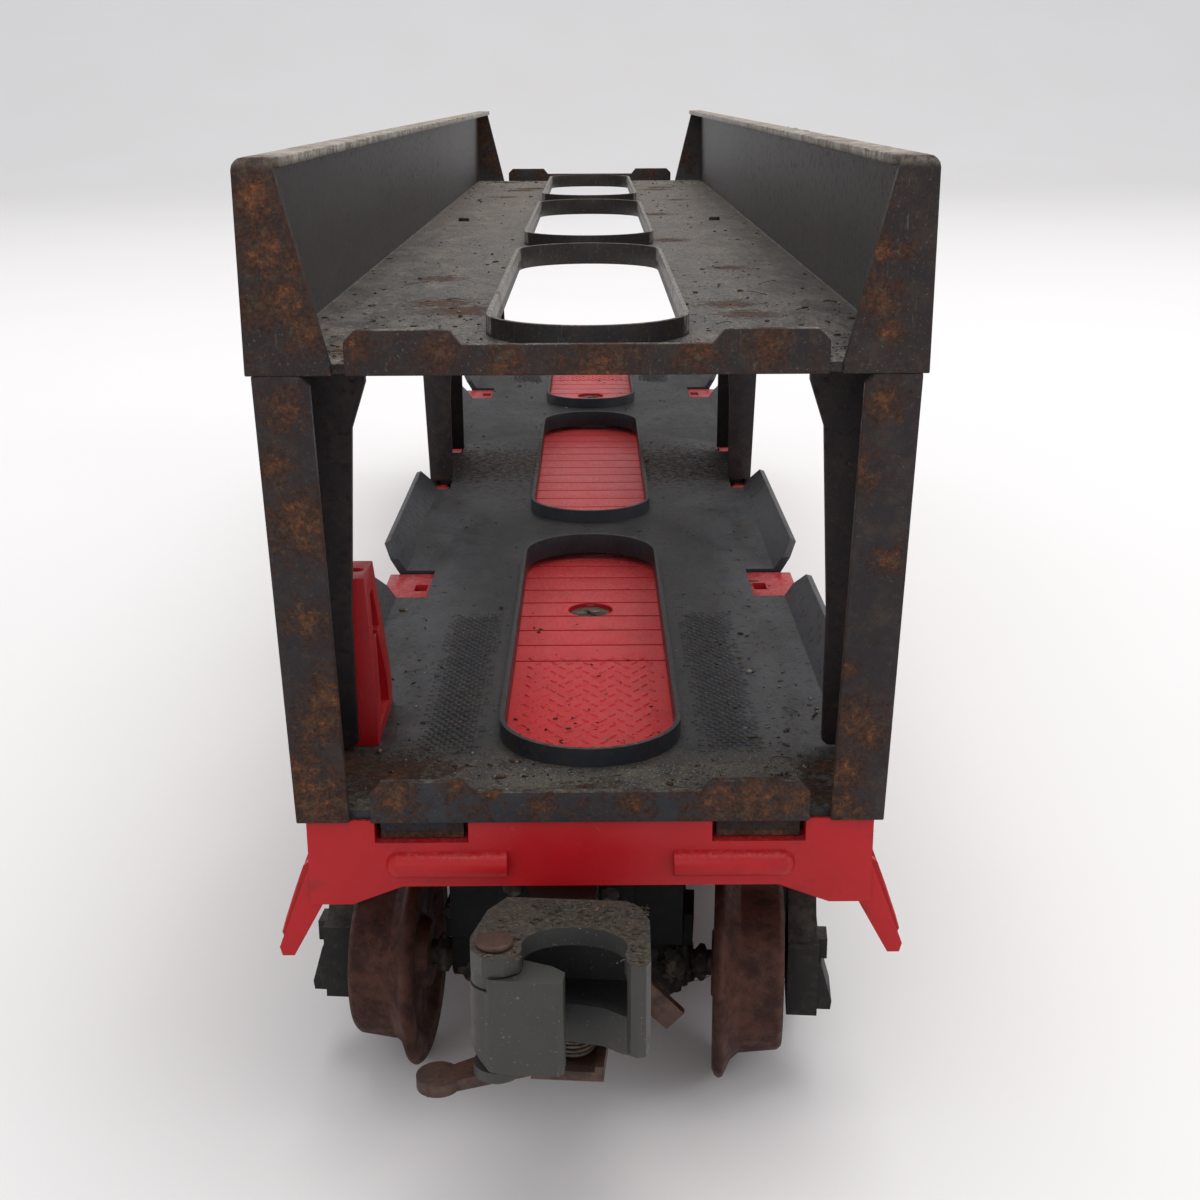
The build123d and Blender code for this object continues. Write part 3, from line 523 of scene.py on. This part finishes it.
strips = bmesh.new()
worn = random.Random(5)
columns = int((strip_x[1] - strip_x[0]) / brick_column_pitch)
rows = int((strip_y[1] - strip_y[0]) / brick_row_pitch)
for side in (-1, 1):
    for end in (-1, 1):
        for row in range(rows):
            for column in range(columns):
                x = side * (strip_x[0] + (column + (0.5 if row % 2 else 0.0)) * brick_column_pitch)
                y = end * (strip_y[0] + row * brick_row_pitch)
                edge = min(column, columns - 1 - column, row / 2, (rows - 1 - row) / 2)
                height = brick_height * min(1.0, 0.55 + 0.25 * edge) * worn.uniform(0.75, 1.0)
                if edge < 1 and worn.random() < 0.25:
                    continue
                raised_bar(strips, x, y, lower_top_z, brick[0], brick[1], height, 0.0, 0.55)
mesh_piece(strips, "wheel_tread_strips", "wagon", lower_finish)

# ---- posts ---------------------------------------------------------------------------
# Four corner posts and two middle posts are folded from the same sheet, spot welded to the
# decks. Their paint is nearly black, with rust blistering through in patches.
post_black, post_black_2 = (0.013, 0.010, 0.013), (0.026, 0.020, 0.023)
post_rust_places = (
    (-22.3, -128, 31.0, 4.2), (-22.9, -128, 33.5, 2.4), (-21.5, -128, 37.5, 2.2), (-20.4, -128, 39.4, 2.6),
    (-21.9, -128, 46.0, 1.8), (-21.6, -128, 53.5, 3.0), (-21.9, -128, 54.5, 2.2), (-22.5, -128, 62.5, 1.8),
    (-23.6, -128, 58.0, 1.6), (21.0, -128, 37.5, 2.2), (22.2, -128, 36.4, 1.8), (20.2, -128, 42.0, 0.9),
    (20.1, -128, 57.7, 2.0), (22.1, -128, 63.0, 1.8), (20.4, -128, 33.0, 2.2), (23.0, -128, 50.5, 1.4),
    (19.9, -128, 29.6, 2.6))
post_finish = painted_sheet("post_paint", post_black, post_black_2, post_rust_places, 31.0,
                            dust_amount=0.3, spread=0.44, film_amount=0.62)
for node in ("corner_post_front_left", "corner_post_front_right", "corner_post_rear_left",
             "corner_post_rear_right", "middle_post_left", "middle_post_right"):
    finish_piece(softened(node, "folded_" + node, "wagon", 0.14), post_finish)

# ---- upper deck ----------------------------------------------------------------------
# The upper deck is a deep pressed tray: floor, two side walls folded in at the top, end tabs
# and lips. Years of dust have bleached its top edges, and rust runs down the end tabs.
upper_top_z, wall_top_z = 65.8, 80.7
upper_paint, upper_grey = (0.012, 0.012, 0.015), (0.044, 0.040, 0.038)
bleached = (0.46, 0.42, 0.36)
upper_rust_places = (
    (-24.2, -128, 78.0, 3.2), (-23.2, -128, 74.0, 2.4), (-22.0, -128, 70.5, 2.8), (-20.9, -128, 68.4, 2.0),
    (-24.6, -128, 70.0, 1.6), (-21.4, -128, 73.0, 1.4), (21.5, -128, 74.0, 1.3), (21.4, -128, 70.5, 1.9),
    (23.1, -128, 74.0, 0.8), (22.2, -128, 68.2, 1.2), (1.0, -128, 66.0, 3.2), (-10.8, -128, 66.9, 1.8),
    (-17.4, -128, 67.3, 1.8), (8.3, -128, 66.7, 1.8), (13.5, -128, 67.2, 1.8), (-6.0, -128, 66.0, 1.8),
    (-14.0, -91, 65.8, 3.0), (-11.5, -97, 65.8, 3.2), (13.4, -93, 65.8, 2.6), (14.4, -100, 65.8, 2.6),
    (-18.0, -121, 65.8, 2.4), (11.0, -24, 65.8, 2.4), (-16.0, -70, 65.8, 2.4), (16.0, -60, 65.8, 2.0))


def upper_deck_finish():
    f = Finish("upper_deck_paint", roughness=0.5, specular=0.22)
    tone = f.blend(f.cloud(12.0, detail=6, rough=0.6, shift=21.0), upper_paint, upper_grey)
    # the end faces are darker and browner than the walls
    end_face = f.out_from_middle("Y", 127.2, 127.6)
    tone = f.blend(f.times(end_face, 0.85), tone, (0.017, 0.011, 0.012))
    film = f.band(f.cloud(1.8, detail=9, rough=0.82, shift=33.0), 0.44, 0.66)
    tone = f.blend(f.times(film, 0.6), tone, (0.050, 0.034, 0.025))
    flecks = f.band(f.cloud(0.34, detail=5, rough=0.85, shift=35.0), 0.585, 0.66)
    tone = f.blend(f.times(flecks, 0.6), tone, (0.17, 0.15, 0.125))
    scratches = f.cloud(0.5, detail=5, rough=0.8, shift=37.0, stretch=(1.0, 1.0, 0.12))
    tone = f.blend(f.times(f.band(scratches, 0.60, 0.66), 0.35), tone, (0.15, 0.14, 0.13))
    # floor dust, rubbed into streaks along the wagon, paler away from the end
    streaks = f.band(f.cloud(3.4, detail=9, rough=0.74, shift=25.0, stretch=(1.0, 0.35, 1.0)), 0.40, 0.66)
    away = f.plus(f.times(f.band(f.axis("Y"), -128 * MM, 60 * MM), 0.34), 0.06)
    by_ends = f.times(f.out_from_middle("Y", 98.0, 126.0), f.out_from_middle("X", 8.0, 15.0), 0.62)
    lying = f.times(f.facing_up(), f.plus(f.times(streaks, 0.52), away, f.times(by_ends, streaks)))
    tone = f.blend(lying, tone, (0.185, 0.160, 0.136))
    grit = f.band(f.cloud(0.28, detail=5, rough=0.85, shift=29.0), 0.545, 0.63)
    tone = f.blend(f.times(grit, f.facing_up(), 0.8), tone, deck_grit)
    pepper = f.band(f.cloud(0.42, detail=5, rough=0.85, shift=30.0), 0.44, 0.36)
    tone = f.blend(f.times(pepper, f.facing_up(), 0.9), tone, (0.006, 0.005, 0.005))
    tone, rust = rusted_paint(f, tone, upper_rust_places, 21.0, 0.42, f.times(end_face, 0.20))
    # bleached crust on the folded-in top edges, broken up into grains
    crust_edge = f.band(f.axis("Z"), (wall_top_z - 1.0) * MM, (wall_top_z - 0.25) * MM)
    broken = f.band(f.cloud(0.9, detail=9, rough=0.85, shift=41.0), 0.34, 0.56)
    sparse = f.plus(f.times(f.out_from_middle("Y", 127.6, 120.0), 0.55), 0.35)
    crust = f.times(crust_edge, broken, sparse)
    stained = f.band(f.cloud(2.2, detail=8, rough=0.75, shift=43.0), 0.42, 0.62)
    ivory = f.blend(stained, bleached, (0.17, 0.115, 0.075))
    tone = f.blend(crust, tone, ivory)
    # the inner faces of the collars are scraped through to pale primer
    collar = f.times(f.band(f.axis("Z"), 65.9 * MM, 66.3 * MM),
                     f.band(f.axis("Z"), 67.6 * MM, 67.4 * MM),
                     f.out_from_middle("X", 9.0, 8.7), f.out_from_middle("Y", 127.4, 126.5))
    primer = f.cloud(0.5, detail=9, rough=0.85, shift=47.0, stretch=(1.0, 1.0, 0.25))
    bared = f.times(collar, f.band(primer, 0.42, 0.54), f.out_from_middle("X", 7.85, 8.0), 0.9)
    tone = f.blend(bared, tone, (0.36, 0.34, 0.31))
    f.colour(tone)
    f.roughness(f.plus(f.times(rust, 0.35), f.times(lying, 0.5), 0.40))
    grain = f.cloud(0.4, detail=9, rough=0.8, shift=23.0)
    f.relief(f.plus(f.times(rust, 0.4), f.times(grain, 0.4), f.times(crust, 0.3)), 0.11, 0.6)
    return f.material


upper_finish = upper_deck_finish()
upper_tray = softened("upper_deck", "upper_deck_tray", "wagon", 0.13)
finish_piece(upper_tray, upper_finish)

# ---- grit, fibres and splinters on the decks -----------------------------------------
# Loose dirt from years in a box: flakes of rust, black grit, pale grains, a few hairs and
# splinters of wood. They lie on both decks, most of them behind the end lips.
oval_pitch = 83.0


def clear_of_ovals(x, y, half_length, half_width):
    """True where the deck has floor, outside its three oval cut-outs."""
    for centre in (-oval_pitch, 0.0, oval_pitch):
        along = max(0.0, abs(y - centre) - (half_length - half_width))
        if math.hypot(x, along) < half_width + 0.5:
            return False
    return True


def crumb(work, x, y, z, size, dice):
    """A ragged flake or grain resting on a surface."""
    squash = dice.uniform(0.35, 0.8)
    turn = Matrix.Rotation(dice.uniform(0, math.tau), 4, "Z")
    lift = Matrix.Translation(Vector((x, y, z + size * squash * 0.35)) * MM)
    size_m = size * MM
    shape = Matrix.Diagonal((size_m * dice.uniform(0.7, 1.5), size_m * 0.5 * dice.uniform(0.8, 1.3),
                             size_m * 0.5 * squash, 1.0))
    made = bmesh.ops.create_icosphere(work, subdivisions=1, radius=1.0, matrix=lift @ turn @ shape)
    for vert in made["verts"]:
        wobble = Vector((dice.uniform(-1, 1), dice.uniform(-1, 1), dice.uniform(-0.6, 0.6)))
        vert.co += wobble * size * 0.14 * MM


def fibre(work, x, y, z, length, thickness, dice, curl=1.0):
    """A curly hair lying on a surface, drawn as a thin three-sided tube."""
    heading = dice.uniform(0, math.tau)
    bend = dice.uniform(-0.5, 0.5) * curl
    steps = 9
    last = None
    for step in range(steps + 1):
        ring = []
        lift = z + thickness + 0.22 * math.sin(math.pi * step / steps) * min(1.0, length / 3)
        side = Vector((-math.sin(heading), math.cos(heading), 0))
        for k in range(3):
            angle = k * math.tau / 3
            offset = side * math.cos(angle) * thickness + Vector((0, 0, math.sin(angle) * thickness))
            ring.append(work.verts.new((Vector((x, y, lift)) + offset) * MM))
        if last:
            join_rings(work, last, ring)
        else:
            work.faces.new(ring[::-1])
        last = ring
        x += math.cos(heading) * length / steps
        y += math.sin(heading) * length / steps
        heading += bend + dice.uniform(-0.25, 0.25) * curl
        bend += dice.uniform(-0.15, 0.15) * curl
    work.faces.new(last)


def loose_dirt(name, tones, shift):
    """Each crumb takes its own tone from where it lies."""
    f = Finish(name, roughness=0.85, specular=0.3)
    pick = f.cloud(1.7, detail=2, rough=0.5, shift=shift)
    tone = f.blend(f.band(pick, 0.40, 0.46), tones[0], tones[1])
    tone = f.blend(f.band(pick, 0.53, 0.57), tone, tones[2])
    tone = f.blend(f.band(f.cloud(1.3, detail=1, shift=shift + 3), 0.60, 0.63), tone, tones[3])
    f.colour(f.blend(f.times(f.cloud(0.15, detail=3), 0.5), tone, (0.02, 0.014, 0.010)))
    f.relief(f.cloud(0.12, detail=4, rough=0.7), 0.05, 0.7)
    return f.material


dirt = loose_dirt("loose_grit", ((0.018, 0.014, 0.012), (0.085, 0.055, 0.034), (0.13, 0.095, 0.062),
                                 (0.34, 0.30, 0.25)), 61.0)
dice = random.Random(19)
upper_grit, lower_grit = bmesh.new(), bmesh.new()
for grit, z, half_x, ovals, amount in ((upper_grit, upper_top_z, 24.3, (36.5, 8.5), 1700),
                                       (lower_grit, lower_top_z, 21.0, (35.75, 8.2), 1500)):
    laid = 0
    while laid < amount:
        y = -127.0 + dice.expovariate(1 / 16.0) if dice.random() < 0.62 else dice.uniform(-126.5, 126.5)
        y = -y if dice.random() < 0.3 else y
        x = dice.uniform(-half_x, half_x)
        if abs(y) > 126.8 or not clear_of_ovals(x, y, *ovals):
            continue
        crumb(grit, x, y, z, min(0.55, 0.06 + dice.expovariate(1 / 0.075)), dice)
        laid += 1
    for k in range(26):
        x, y = dice.uniform(-half_x + 3, half_x - 3), dice.choice((-1, -1, 1)) * dice.uniform(70, 124)
        if clear_of_ovals(x, y, ovals[0] + 2, ovals[1] + 2):
            fibre(grit, x, y, z, dice.uniform(1.0, 4.0), 0.035, dice)
# splinters: one by the right flap, one across the corner of the right end tab
for grit, x, y, z, length, thickness in ((lower_grit, 20.6, -107.4, lower_top_z, 2.6, 0.13),
                                         (lower_grit, 19.2, -106.2, lower_top_z, 1.8, 0.07),
                                         (upper_grit, 23.2, -97.0, upper_top_z + 0.4, 2.4, 0.10)):
    fibre(grit, x, y, z, length, thickness, dice, curl=0.25)
# dirt has fallen through the end cut-outs and lies against the near ends of their collars
floor_grit = bmesh.new()
laid = 0
while laid < 420:
    x, drop = dice.uniform(-8.0, 8.0), dice.expovariate(1 / 12.0)
    y = dice.choice((-1, 1)) * (118.0 - drop)
    if drop < 60 and not clear_of_ovals(x, y, 34.6, 6.9):
        crumb(floor_grit, x, y, floor_top_z, min(0.4, 0.06 + dice.expovariate(1 / 0.07)), dice)
        laid += 1
mesh_piece(floor_grit, "plank_floor_grit", "wagon", dirt)
mesh_piece(upper_grit, "upper_deck_grit", "wagon", dirt)
mesh_piece(lower_grit, "lower_deck_grit", "wagon", dirt)

# pale crust standing along the inner edge of the folded-in wall tops
crust_paint = loose_dirt("bleached_crust", ((0.22, 0.18, 0.14), (0.36, 0.32, 0.27), (0.50, 0.46, 0.40),
                                            (0.12, 0.065, 0.035)), 71.0)
crust_lumps = bmesh.new()
for side in (-1, 1):
    for k in range(420):
        x = side * dice.choice((22.1, 24.3, dice.uniform(22.2, 24.4)))
        y = dice.uniform(-126.0, 127.0)
        crumb(crust_lumps, x, y, wall_top_z - 0.12, dice.uniform(0.10, 0.26), dice)
for k in range(110):
    x, y = dice.choice((-1, 1)) * dice.choice((22.2, 24.3)), dice.uniform(-126.0, 60.0)
    fibre(crust_lumps, x, y, wall_top_z - 0.2, dice.uniform(0.6, 1.8), 0.03, dice, curl=1.4)
mesh_piece(crust_lumps, "wall_top_crust", "wagon", crust_paint)

# ---- brake stand ---------------------------------------------------------------------
# An A-shaped stand moulded in the same red plastic stands on the lower deck by the left
# corner post. A peg under it passes through the deck into the wagon floor.
finish_piece(softened("brake_stand", "brake_stand_moulding", "wagon", 0.20), red_plastic)

# ---- bogie frames --------------------------------------------------------------------
# Each bogie has a black moulded centre frame and two side frames in dark grey plastic, with
# dummy springs. Oil has gathered dust on them, and fluff is wound round the axles.
bogie_black, bogie_grey = (0.003, 0.003, 0.003), (0.026, 0.024, 0.023)


def bogie_moulding(name, dark, light, dust, shift):
    f = Finish(name, roughness=0.55, specular=0.12)
    tone = f.blend(f.cloud(3.0, detail=7, rough=0.65, shift=shift), dark, light)
    film = f.band(f.cloud(0.9, detail=9, rough=0.8, shift=shift + 4), 0.50, 0.70)
    tone = f.blend(f.times(film, dust), tone, (0.085, 0.070, 0.052))
    settled = f.band(f.cloud(1.4, detail=8, rough=0.8, shift=shift + 6), 0.3, 0.7)
    tone = f.blend(f.times(f.facing_up(0.3, 0.9), settled, dust * 1.3), tone, (0.14, 0.125, 0.10))
    f.colour(tone)
    f.roughness(f.plus(f.times(f.cloud(1.2, shift=shift + 8), 0.35), 0.38))
    f.relief(f.cloud(0.5, detail=9, rough=0.8, shift=shift + 2), 0.10, 0.6)
    return f.material


bolster_finish = bogie_moulding("bolster_plastic", bogie_black, (0.006, 0.006, 0.006), 0.05, 91.0)
side_frame_finish = bogie_moulding("side_frame_plastic", (0.015, 0.014, 0.014), bogie_grey, 0.36, 95.0)


def grime_lump(work, centre, radii, dice, amount=0.32, grain=1.1):
    """A fluffy, ragged lump of oily dust round centre, in millimetres."""
    made = bmesh.ops.create_icosphere(work, subdivisions=4, radius=1.0)
    seed = Vector((dice.uniform(0, 90), dice.uniform(0, 90), dice.uniform(0, 90)))
    for vert in made["verts"]:
        point = Vector((vert.co.x * radii[0], vert.co.y * radii[1], vert.co.z * radii[2]))
        rough = noise.fractal(point / grain + seed, 0.7, 2.1, 5)
        vert.co = (Vector(centre) + point * (1.0 + amount * rough)) * MM


def bogie_point(end, x, y, z):
    """A point given in the bogie's own frame, placed on the wagon."""
    turn = math.radians(bogie_yaw + (0 if end == "front" else 180))
    pivot = -pivot_y if end == "front" else pivot_y
    return Vector((x * math.cos(turn) - y * math.sin(turn),
                   pivot + x * math.sin(turn) + y * math.cos(turn), z))


pivot_y, bogie_yaw = 95.5, -5.0
half_wheelbase, axle_z = 21.0, 10.0
grime = loose_dirt("oily_fluff", ((0.010, 0.009, 0.008), (0.022, 0.019, 0.016), (0.040, 0.034, 0.028),
                                  (0.075, 0.062, 0.048)), 77.0)
for end in ("front", "rear"):
    bogie = end + "_bogie"
    bolster = softened(end + "_bolster", end + "_bolster_frame", bogie, 0.22)
    finish_piece(bolster, bolster_finish)
    for side in ("a", "b"):
        finish_piece(softened(f"{end}_side_frame_{side}", f"{end}_sprung_side_{side}", bogie, 0.24),
                     side_frame_finish)
    lumps = bmesh.new()
    for y in (-half_wheelbase, half_wheelbase):
        for x, radii, drop in ((8.2, (2.6, 2.7, 2.6), 0.2), (-8.2, (2.1, 2.3, 2.2), 0.1),
                               (9.6, (1.3, 2.9, 2.5), -0.8), (-5.9, (0.9, 1.9, 1.9), 0.0)):
            grime_lump(lumps, bogie_point(end, x, y - 0.3, axle_z - drop), radii, dice)
        for k in range(7):
            spot = bogie_point(end, dice.uniform(-10, 10), y - 2.4, dice.uniform(13.4, 16.5))
            grime_lump(lumps, spot, (dice.uniform(0.5, 1.2), 0.5, dice.uniform(0.4, 0.9)), dice)
    for x, y, z in ((-4.6, -25.4, 19.0), (5.2, -25.4, 17.5), (3.9, -25.3, 18.8), (-10.2, -23.2, 15.4)):
        grime_lump(lumps, bogie_point(end, x, y, z), (0.9, 0.45, 0.8), dice)
    for k in range(9):
        spot = bogie_point(end, dice.uniform(4.5, 11.5), -half_wheelbase - 2.2, dice.uniform(7.6, 12.5))
        fibre(lumps, spot.x, spot.y, spot.z, dice.uniform(1.5, 3.5), 0.035, dice, curl=1.6)
    mesh_piece(lumps, end + "_bogie_grime", bogie, grime)

# ---- wheelsets -----------------------------------------------------------------------
# Flanged wheels are cast and turned, then pressed on a plain steel axle. All of them have
# gone brown, with a thin rubbed line on the treads and flange tips.
wheel_brown, wheel_dark, wheel_rubbed = (0.072, 0.026, 0.017), (0.028, 0.012, 0.009), (0.19, 0.11, 0.08)


def wheel_finish():
    f = Finish("rusted_wheel", roughness=0.6, metallic=0.15, specular=0.2)
    cloudy = f.band(f.cloud(2.4, detail=9, rough=0.72, shift=51.0), 0.36, 0.64)
    tone = f.blend(cloudy, wheel_brown, wheel_dark)
    streak = f.band(f.cloud(0.8, detail=9, rough=0.85, shift=53.0), 0.56, 0.68)
    tone = f.blend(f.times(streak, 0.6), tone, (0.17, 0.058, 0.026))
    fleck = f.band(f.cloud(0.25, detail=4, rough=0.8, shift=55.0), 0.64, 0.70)
    tone = f.blend(f.times(fleck, 0.55), tone, wheel_rubbed)
    grey = f.band(f.cloud(3.5, detail=8, rough=0.7, shift=57.0), 0.56, 0.66)
    tone = f.blend(f.times(grey, 0.3), tone, (0.060, 0.048, 0.040))
    f.colour(tone)
    f.roughness(f.plus(f.times(cloudy, 0.25), 0.48))
    grain = f.cloud(0.4, detail=9, rough=0.82, shift=59.0)
    f.relief(f.plus(f.times(cloudy, 0.3), f.times(grain, 0.6)), 0.09, 0.65)
    return f.material


rusted_wheel = wheel_finish()
axle_steel = worn_steel("axle_steel", (0.035, 0.031, 0.028), (0.028, 0.017, 0.012),
                        (0.12, 0.105, 0.09), 87.0)
for end in ("front", "rear"):
    for row, y in (("outer", -half_wheelbase), ("inner", half_wheelbase)):
        wheelset = f"{end}_{row}_wheelset"
        axle = softened(f"{end}_{row}_axle", f"{end}_{row}_axle_rod", wheelset, 0.15)
        finish_piece(axle, axle_steel)
        for side in ("a", "b"):
            finish_piece(softened(f"{end}_{row}_wheel_{side}", f"{end}_{row}_flanged_wheel_{side}",
                                  wheelset, 0.12), rusted_wheel)
        # fluff wound tight on the axle beside the hubs
        wound = bmesh.new()
        for x in (-11.6, 11.7, 3.4, -3.6):
            grime_lump(wound, bogie_point(end, x, y, axle_z), (0.85, 1.55, 1.55), dice, amount=0.22)
        mesh_piece(wound, f"{end}_{row}_axle_fluff", wheelset, grime)

# ---- couplers ------------------------------------------------------------------------
# Each coupler head is a grey casting on a flat shank, fixed to the bogie. A hinged knuckle
# turns on an upright rivet at its side. The top is caked with brown dirt.
cast_grey, cast_light = (0.033, 0.032, 0.030), (0.052, 0.051, 0.047)
head_top_z, throat_middle, throat_shade_radius = 25.6, (2.6, -42.0, 21.5), 4.4
# the rivet's eye: its radius and height above the casting, from the rim to the bottom
eye_xy, eye_sides = (1.9, -40.9), 20
eye_profile = ((0.78, -0.05), (0.72, 0.10), (0.58, 0.18), (0.44, 0.13), (0.36, -0.02), (0.32, -0.30))


def coupler_finish(name, shift, caked, shaded_hollows=()):
    f = Finish(name, roughness=0.5, specular=0.3)
    tone = f.blend(f.cloud(4.0, detail=7, rough=0.6, shift=shift), cast_grey, cast_light)
    rubbed = f.band(f.cloud(0.5, detail=9, rough=0.85, shift=shift + 2), 0.58, 0.70)
    tone = f.blend(f.times(rubbed, 0.35), tone, (0.13, 0.13, 0.12))
    smear = f.band(f.cloud(2.2, detail=9, rough=0.75, shift=shift + 4), 0.50, 0.68)
    tone = f.blend(f.times(smear, 0.45), tone, (0.036, 0.032, 0.026))
    # painted shade: the hollow inside the throat is painted near black
    for x, y, z, radius in shaded_hollows:
        tone = f.blend(f.times(f.near(x, y, z, radius), 0.9), tone, (0.008, 0.008, 0.009))
    on_top = f.times(f.facing_up(0.4, 0.9), f.band(f.axis("Z"), 24.6 * MM, 25.3 * MM))
    cake = f.times(on_top, f.band(f.cloud(1.2, detail=9, rough=0.8, shift=shift + 6), 0.28, 0.56), caked)
    cake_tone = f.blend(f.band(f.cloud(0.35, detail=8, rough=0.8, shift=shift + 8), 0.40, 0.66),
                        (0.024, 0.019, 0.015), (0.095, 0.072, 0.050))
    tone = f.blend(cake, tone, cake_tone)
    rust = f.times(f.band(f.cloud(1.5, detail=9, rough=0.8, shift=shift + 10), 0.62, 0.70), on_top, caked)
    tone = f.blend(f.times(rust, 0.7), tone, (0.22, 0.095, 0.030))
    pale = f.band(f.cloud(0.3, detail=3, rough=0.7, shift=shift + 12), 0.66, 0.71)
    tone = f.blend(f.times(pale, 0.4), tone, (0.34, 0.33, 0.30))
    f.colour(tone)
    f.roughness(f.plus(f.times(cake, 0.4), f.times(smear, 0.1), 0.42))
    grain = f.cloud(0.45, detail=9, rough=0.8, shift=shift + 1)
    f.relief(f.plus(f.times(grain, 0.5), f.times(cake, 0.4)), 0.12, 0.6)
    return f.material


# where the hollow of each throat is painted dark, as painted shade
painted_throat_shade = [(*bogie_point(end, *throat_middle), throat_shade_radius) for end in ("front", "rear")]
head_casting = coupler_finish("coupler_casting", 101.0, 0.95, painted_throat_shade)
knuckle_casting = coupler_finish("knuckle_casting", 111.0, 0.35)
rivet_rust = worn_steel("rivet_rust", (0.075, 0.034, 0.022), (0.040, 0.019, 0.013),
                        (0.15, 0.085, 0.06), 121.0, orange=0.35, metallic=0.2)
cake_dirt = loose_dirt("caked_dirt", ((0.022, 0.018, 0.014), (0.055, 0.040, 0.027), (0.085, 0.064, 0.044),
                                      (0.15, 0.095, 0.055)), 131.0)
for end in ("front", "rear"):
    bogie = end + "_bogie"
    head = softened(end + "_coupler", end + "_coupler_casting", bogie, 0.42, segments=3)
    finish_piece(head, head_casting)
    jaw = softened(end + "_knuckle", end + "_knuckle_casting", end + "_knuckle_body", 0.45, segments=3)
    finish_piece(jaw, knuckle_casting)
    jaw_pin = softened(end + "_knuckle_pin", end + "_knuckle_rivet", bogie, 0.22, segments=3)
    finish_piece(jaw_pin, rivet_rust)
    cake = bmesh.new()
    laid = 0
    while laid < 240:
        x, y = dice.uniform(-3.6, 8.0), dice.uniform(-49.0, -40.0)
        over_throat = (x - 2.9) ** 2 / 18.5 + (y + 46.7) ** 2 / 10.5 < 1.0
        on_pin = math.hypot(x + 2.9, y + 47.0) < 1.5
        past_corner = x < -1.2 and y > x - 40.0
        if over_throat or on_pin or past_corner:
            continue
        spot = bogie_point(end, x, y, head_top_z)
        crumb(cake, spot.x, spot.y, spot.z, dice.uniform(0.07, 0.27), dice)
        laid += 1
    mesh_piece(cake, end + "_coupler_dirt", bogie, cake_dirt)
    # the peened eye of a rivet shows behind the throat
    eye = bmesh.new()
    middle = bogie_point(end, *eye_xy, head_top_z)
    last = None
    for radius, height in eye_profile:
        ring = []
        for k in range(eye_sides):
            angle = k * math.tau / eye_sides
            out = Vector((math.cos(angle), math.sin(angle), 0)) * radius
            ring.append(eye.verts.new((middle + out + Vector((0, 0, height))) * MM))
        if last:
            join_rings(eye, last, ring)
        last = ring
    eye.faces.new(last)
    mesh_piece(eye, end + "_coupler_rivet_eye", bogie, head_casting)

# ---- release gear --------------------------------------------------------------------
# Under each coupler a bent steel plate with a finger lever slides on a rivet, pushed down by
# a small wire spring. Lifting it frees the knuckle. All of it is rusty.
seat_xy, spring_z = (2.4, -42.2), (14.10, 15.93)
spring_r, wire_r, spring_turns = 1.45, 0.16, 4.5
plate_rust = worn_steel("plate_rust", (0.080, 0.036, 0.022), (0.034, 0.016, 0.011),
                        (0.22, 0.15, 0.11), 141.0, orange=0.5, metallic=0.1)
spring_wire = worn_steel("spring_wire", (0.15, 0.13, 0.11), (0.07, 0.04, 0.026),
                         (0.30, 0.27, 0.23), 145.0, metallic=0.7)


def wire_coil(work, centre, radius, wire, z0, z1, turns, around=7, per_turn=28):
    """Round wire wound into an upright compression spring."""
    steps = int(turns * per_turn)
    last = None
    for step in range(steps + 1):
        share = step / steps
        # the end turns lie closer together
        eased = share * share * (3 - 2 * share)
        height = z0 + wire + (z1 - z0 - 2 * wire) * (0.35 * eased + 0.65 * share)
        angle = share * turns * math.tau
        out = Vector((math.cos(angle), math.sin(angle), 0))
        ring = []
        for k in range(around):
            lean = k * math.tau / around
            point = Vector((centre.x, centre.y, height)) + out * (radius + wire * math.cos(lean))
            point.z += wire * math.sin(lean)
            ring.append(work.verts.new(point * MM))
        if last:
            join_rings(work, last, ring)
        else:
            work.faces.new(ring[::-1])
        last = ring
    work.faces.new(last)


for end in ("front", "rear"):
    finish_piece(softened(end + "_release_plate", end + "_release_lever", end + "_release_body", 0.16),
                 plate_rust)
    finish_piece(softened(end + "_release_rivet", end + "_release_pin", end + "_bogie", 0.12),
                 rivet_rust)
    coil = bmesh.new()
    seat = bogie_point(end, *seat_xy, 0)
    wire_coil(coil, seat, spring_r, wire_r, spring_z[0], spring_z[1], spring_turns)
    spring = mesh_piece(coil, end + "_release_coil", end + "_bogie", spring_wire)
    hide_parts(end + "_release_spring")
    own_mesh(spring)
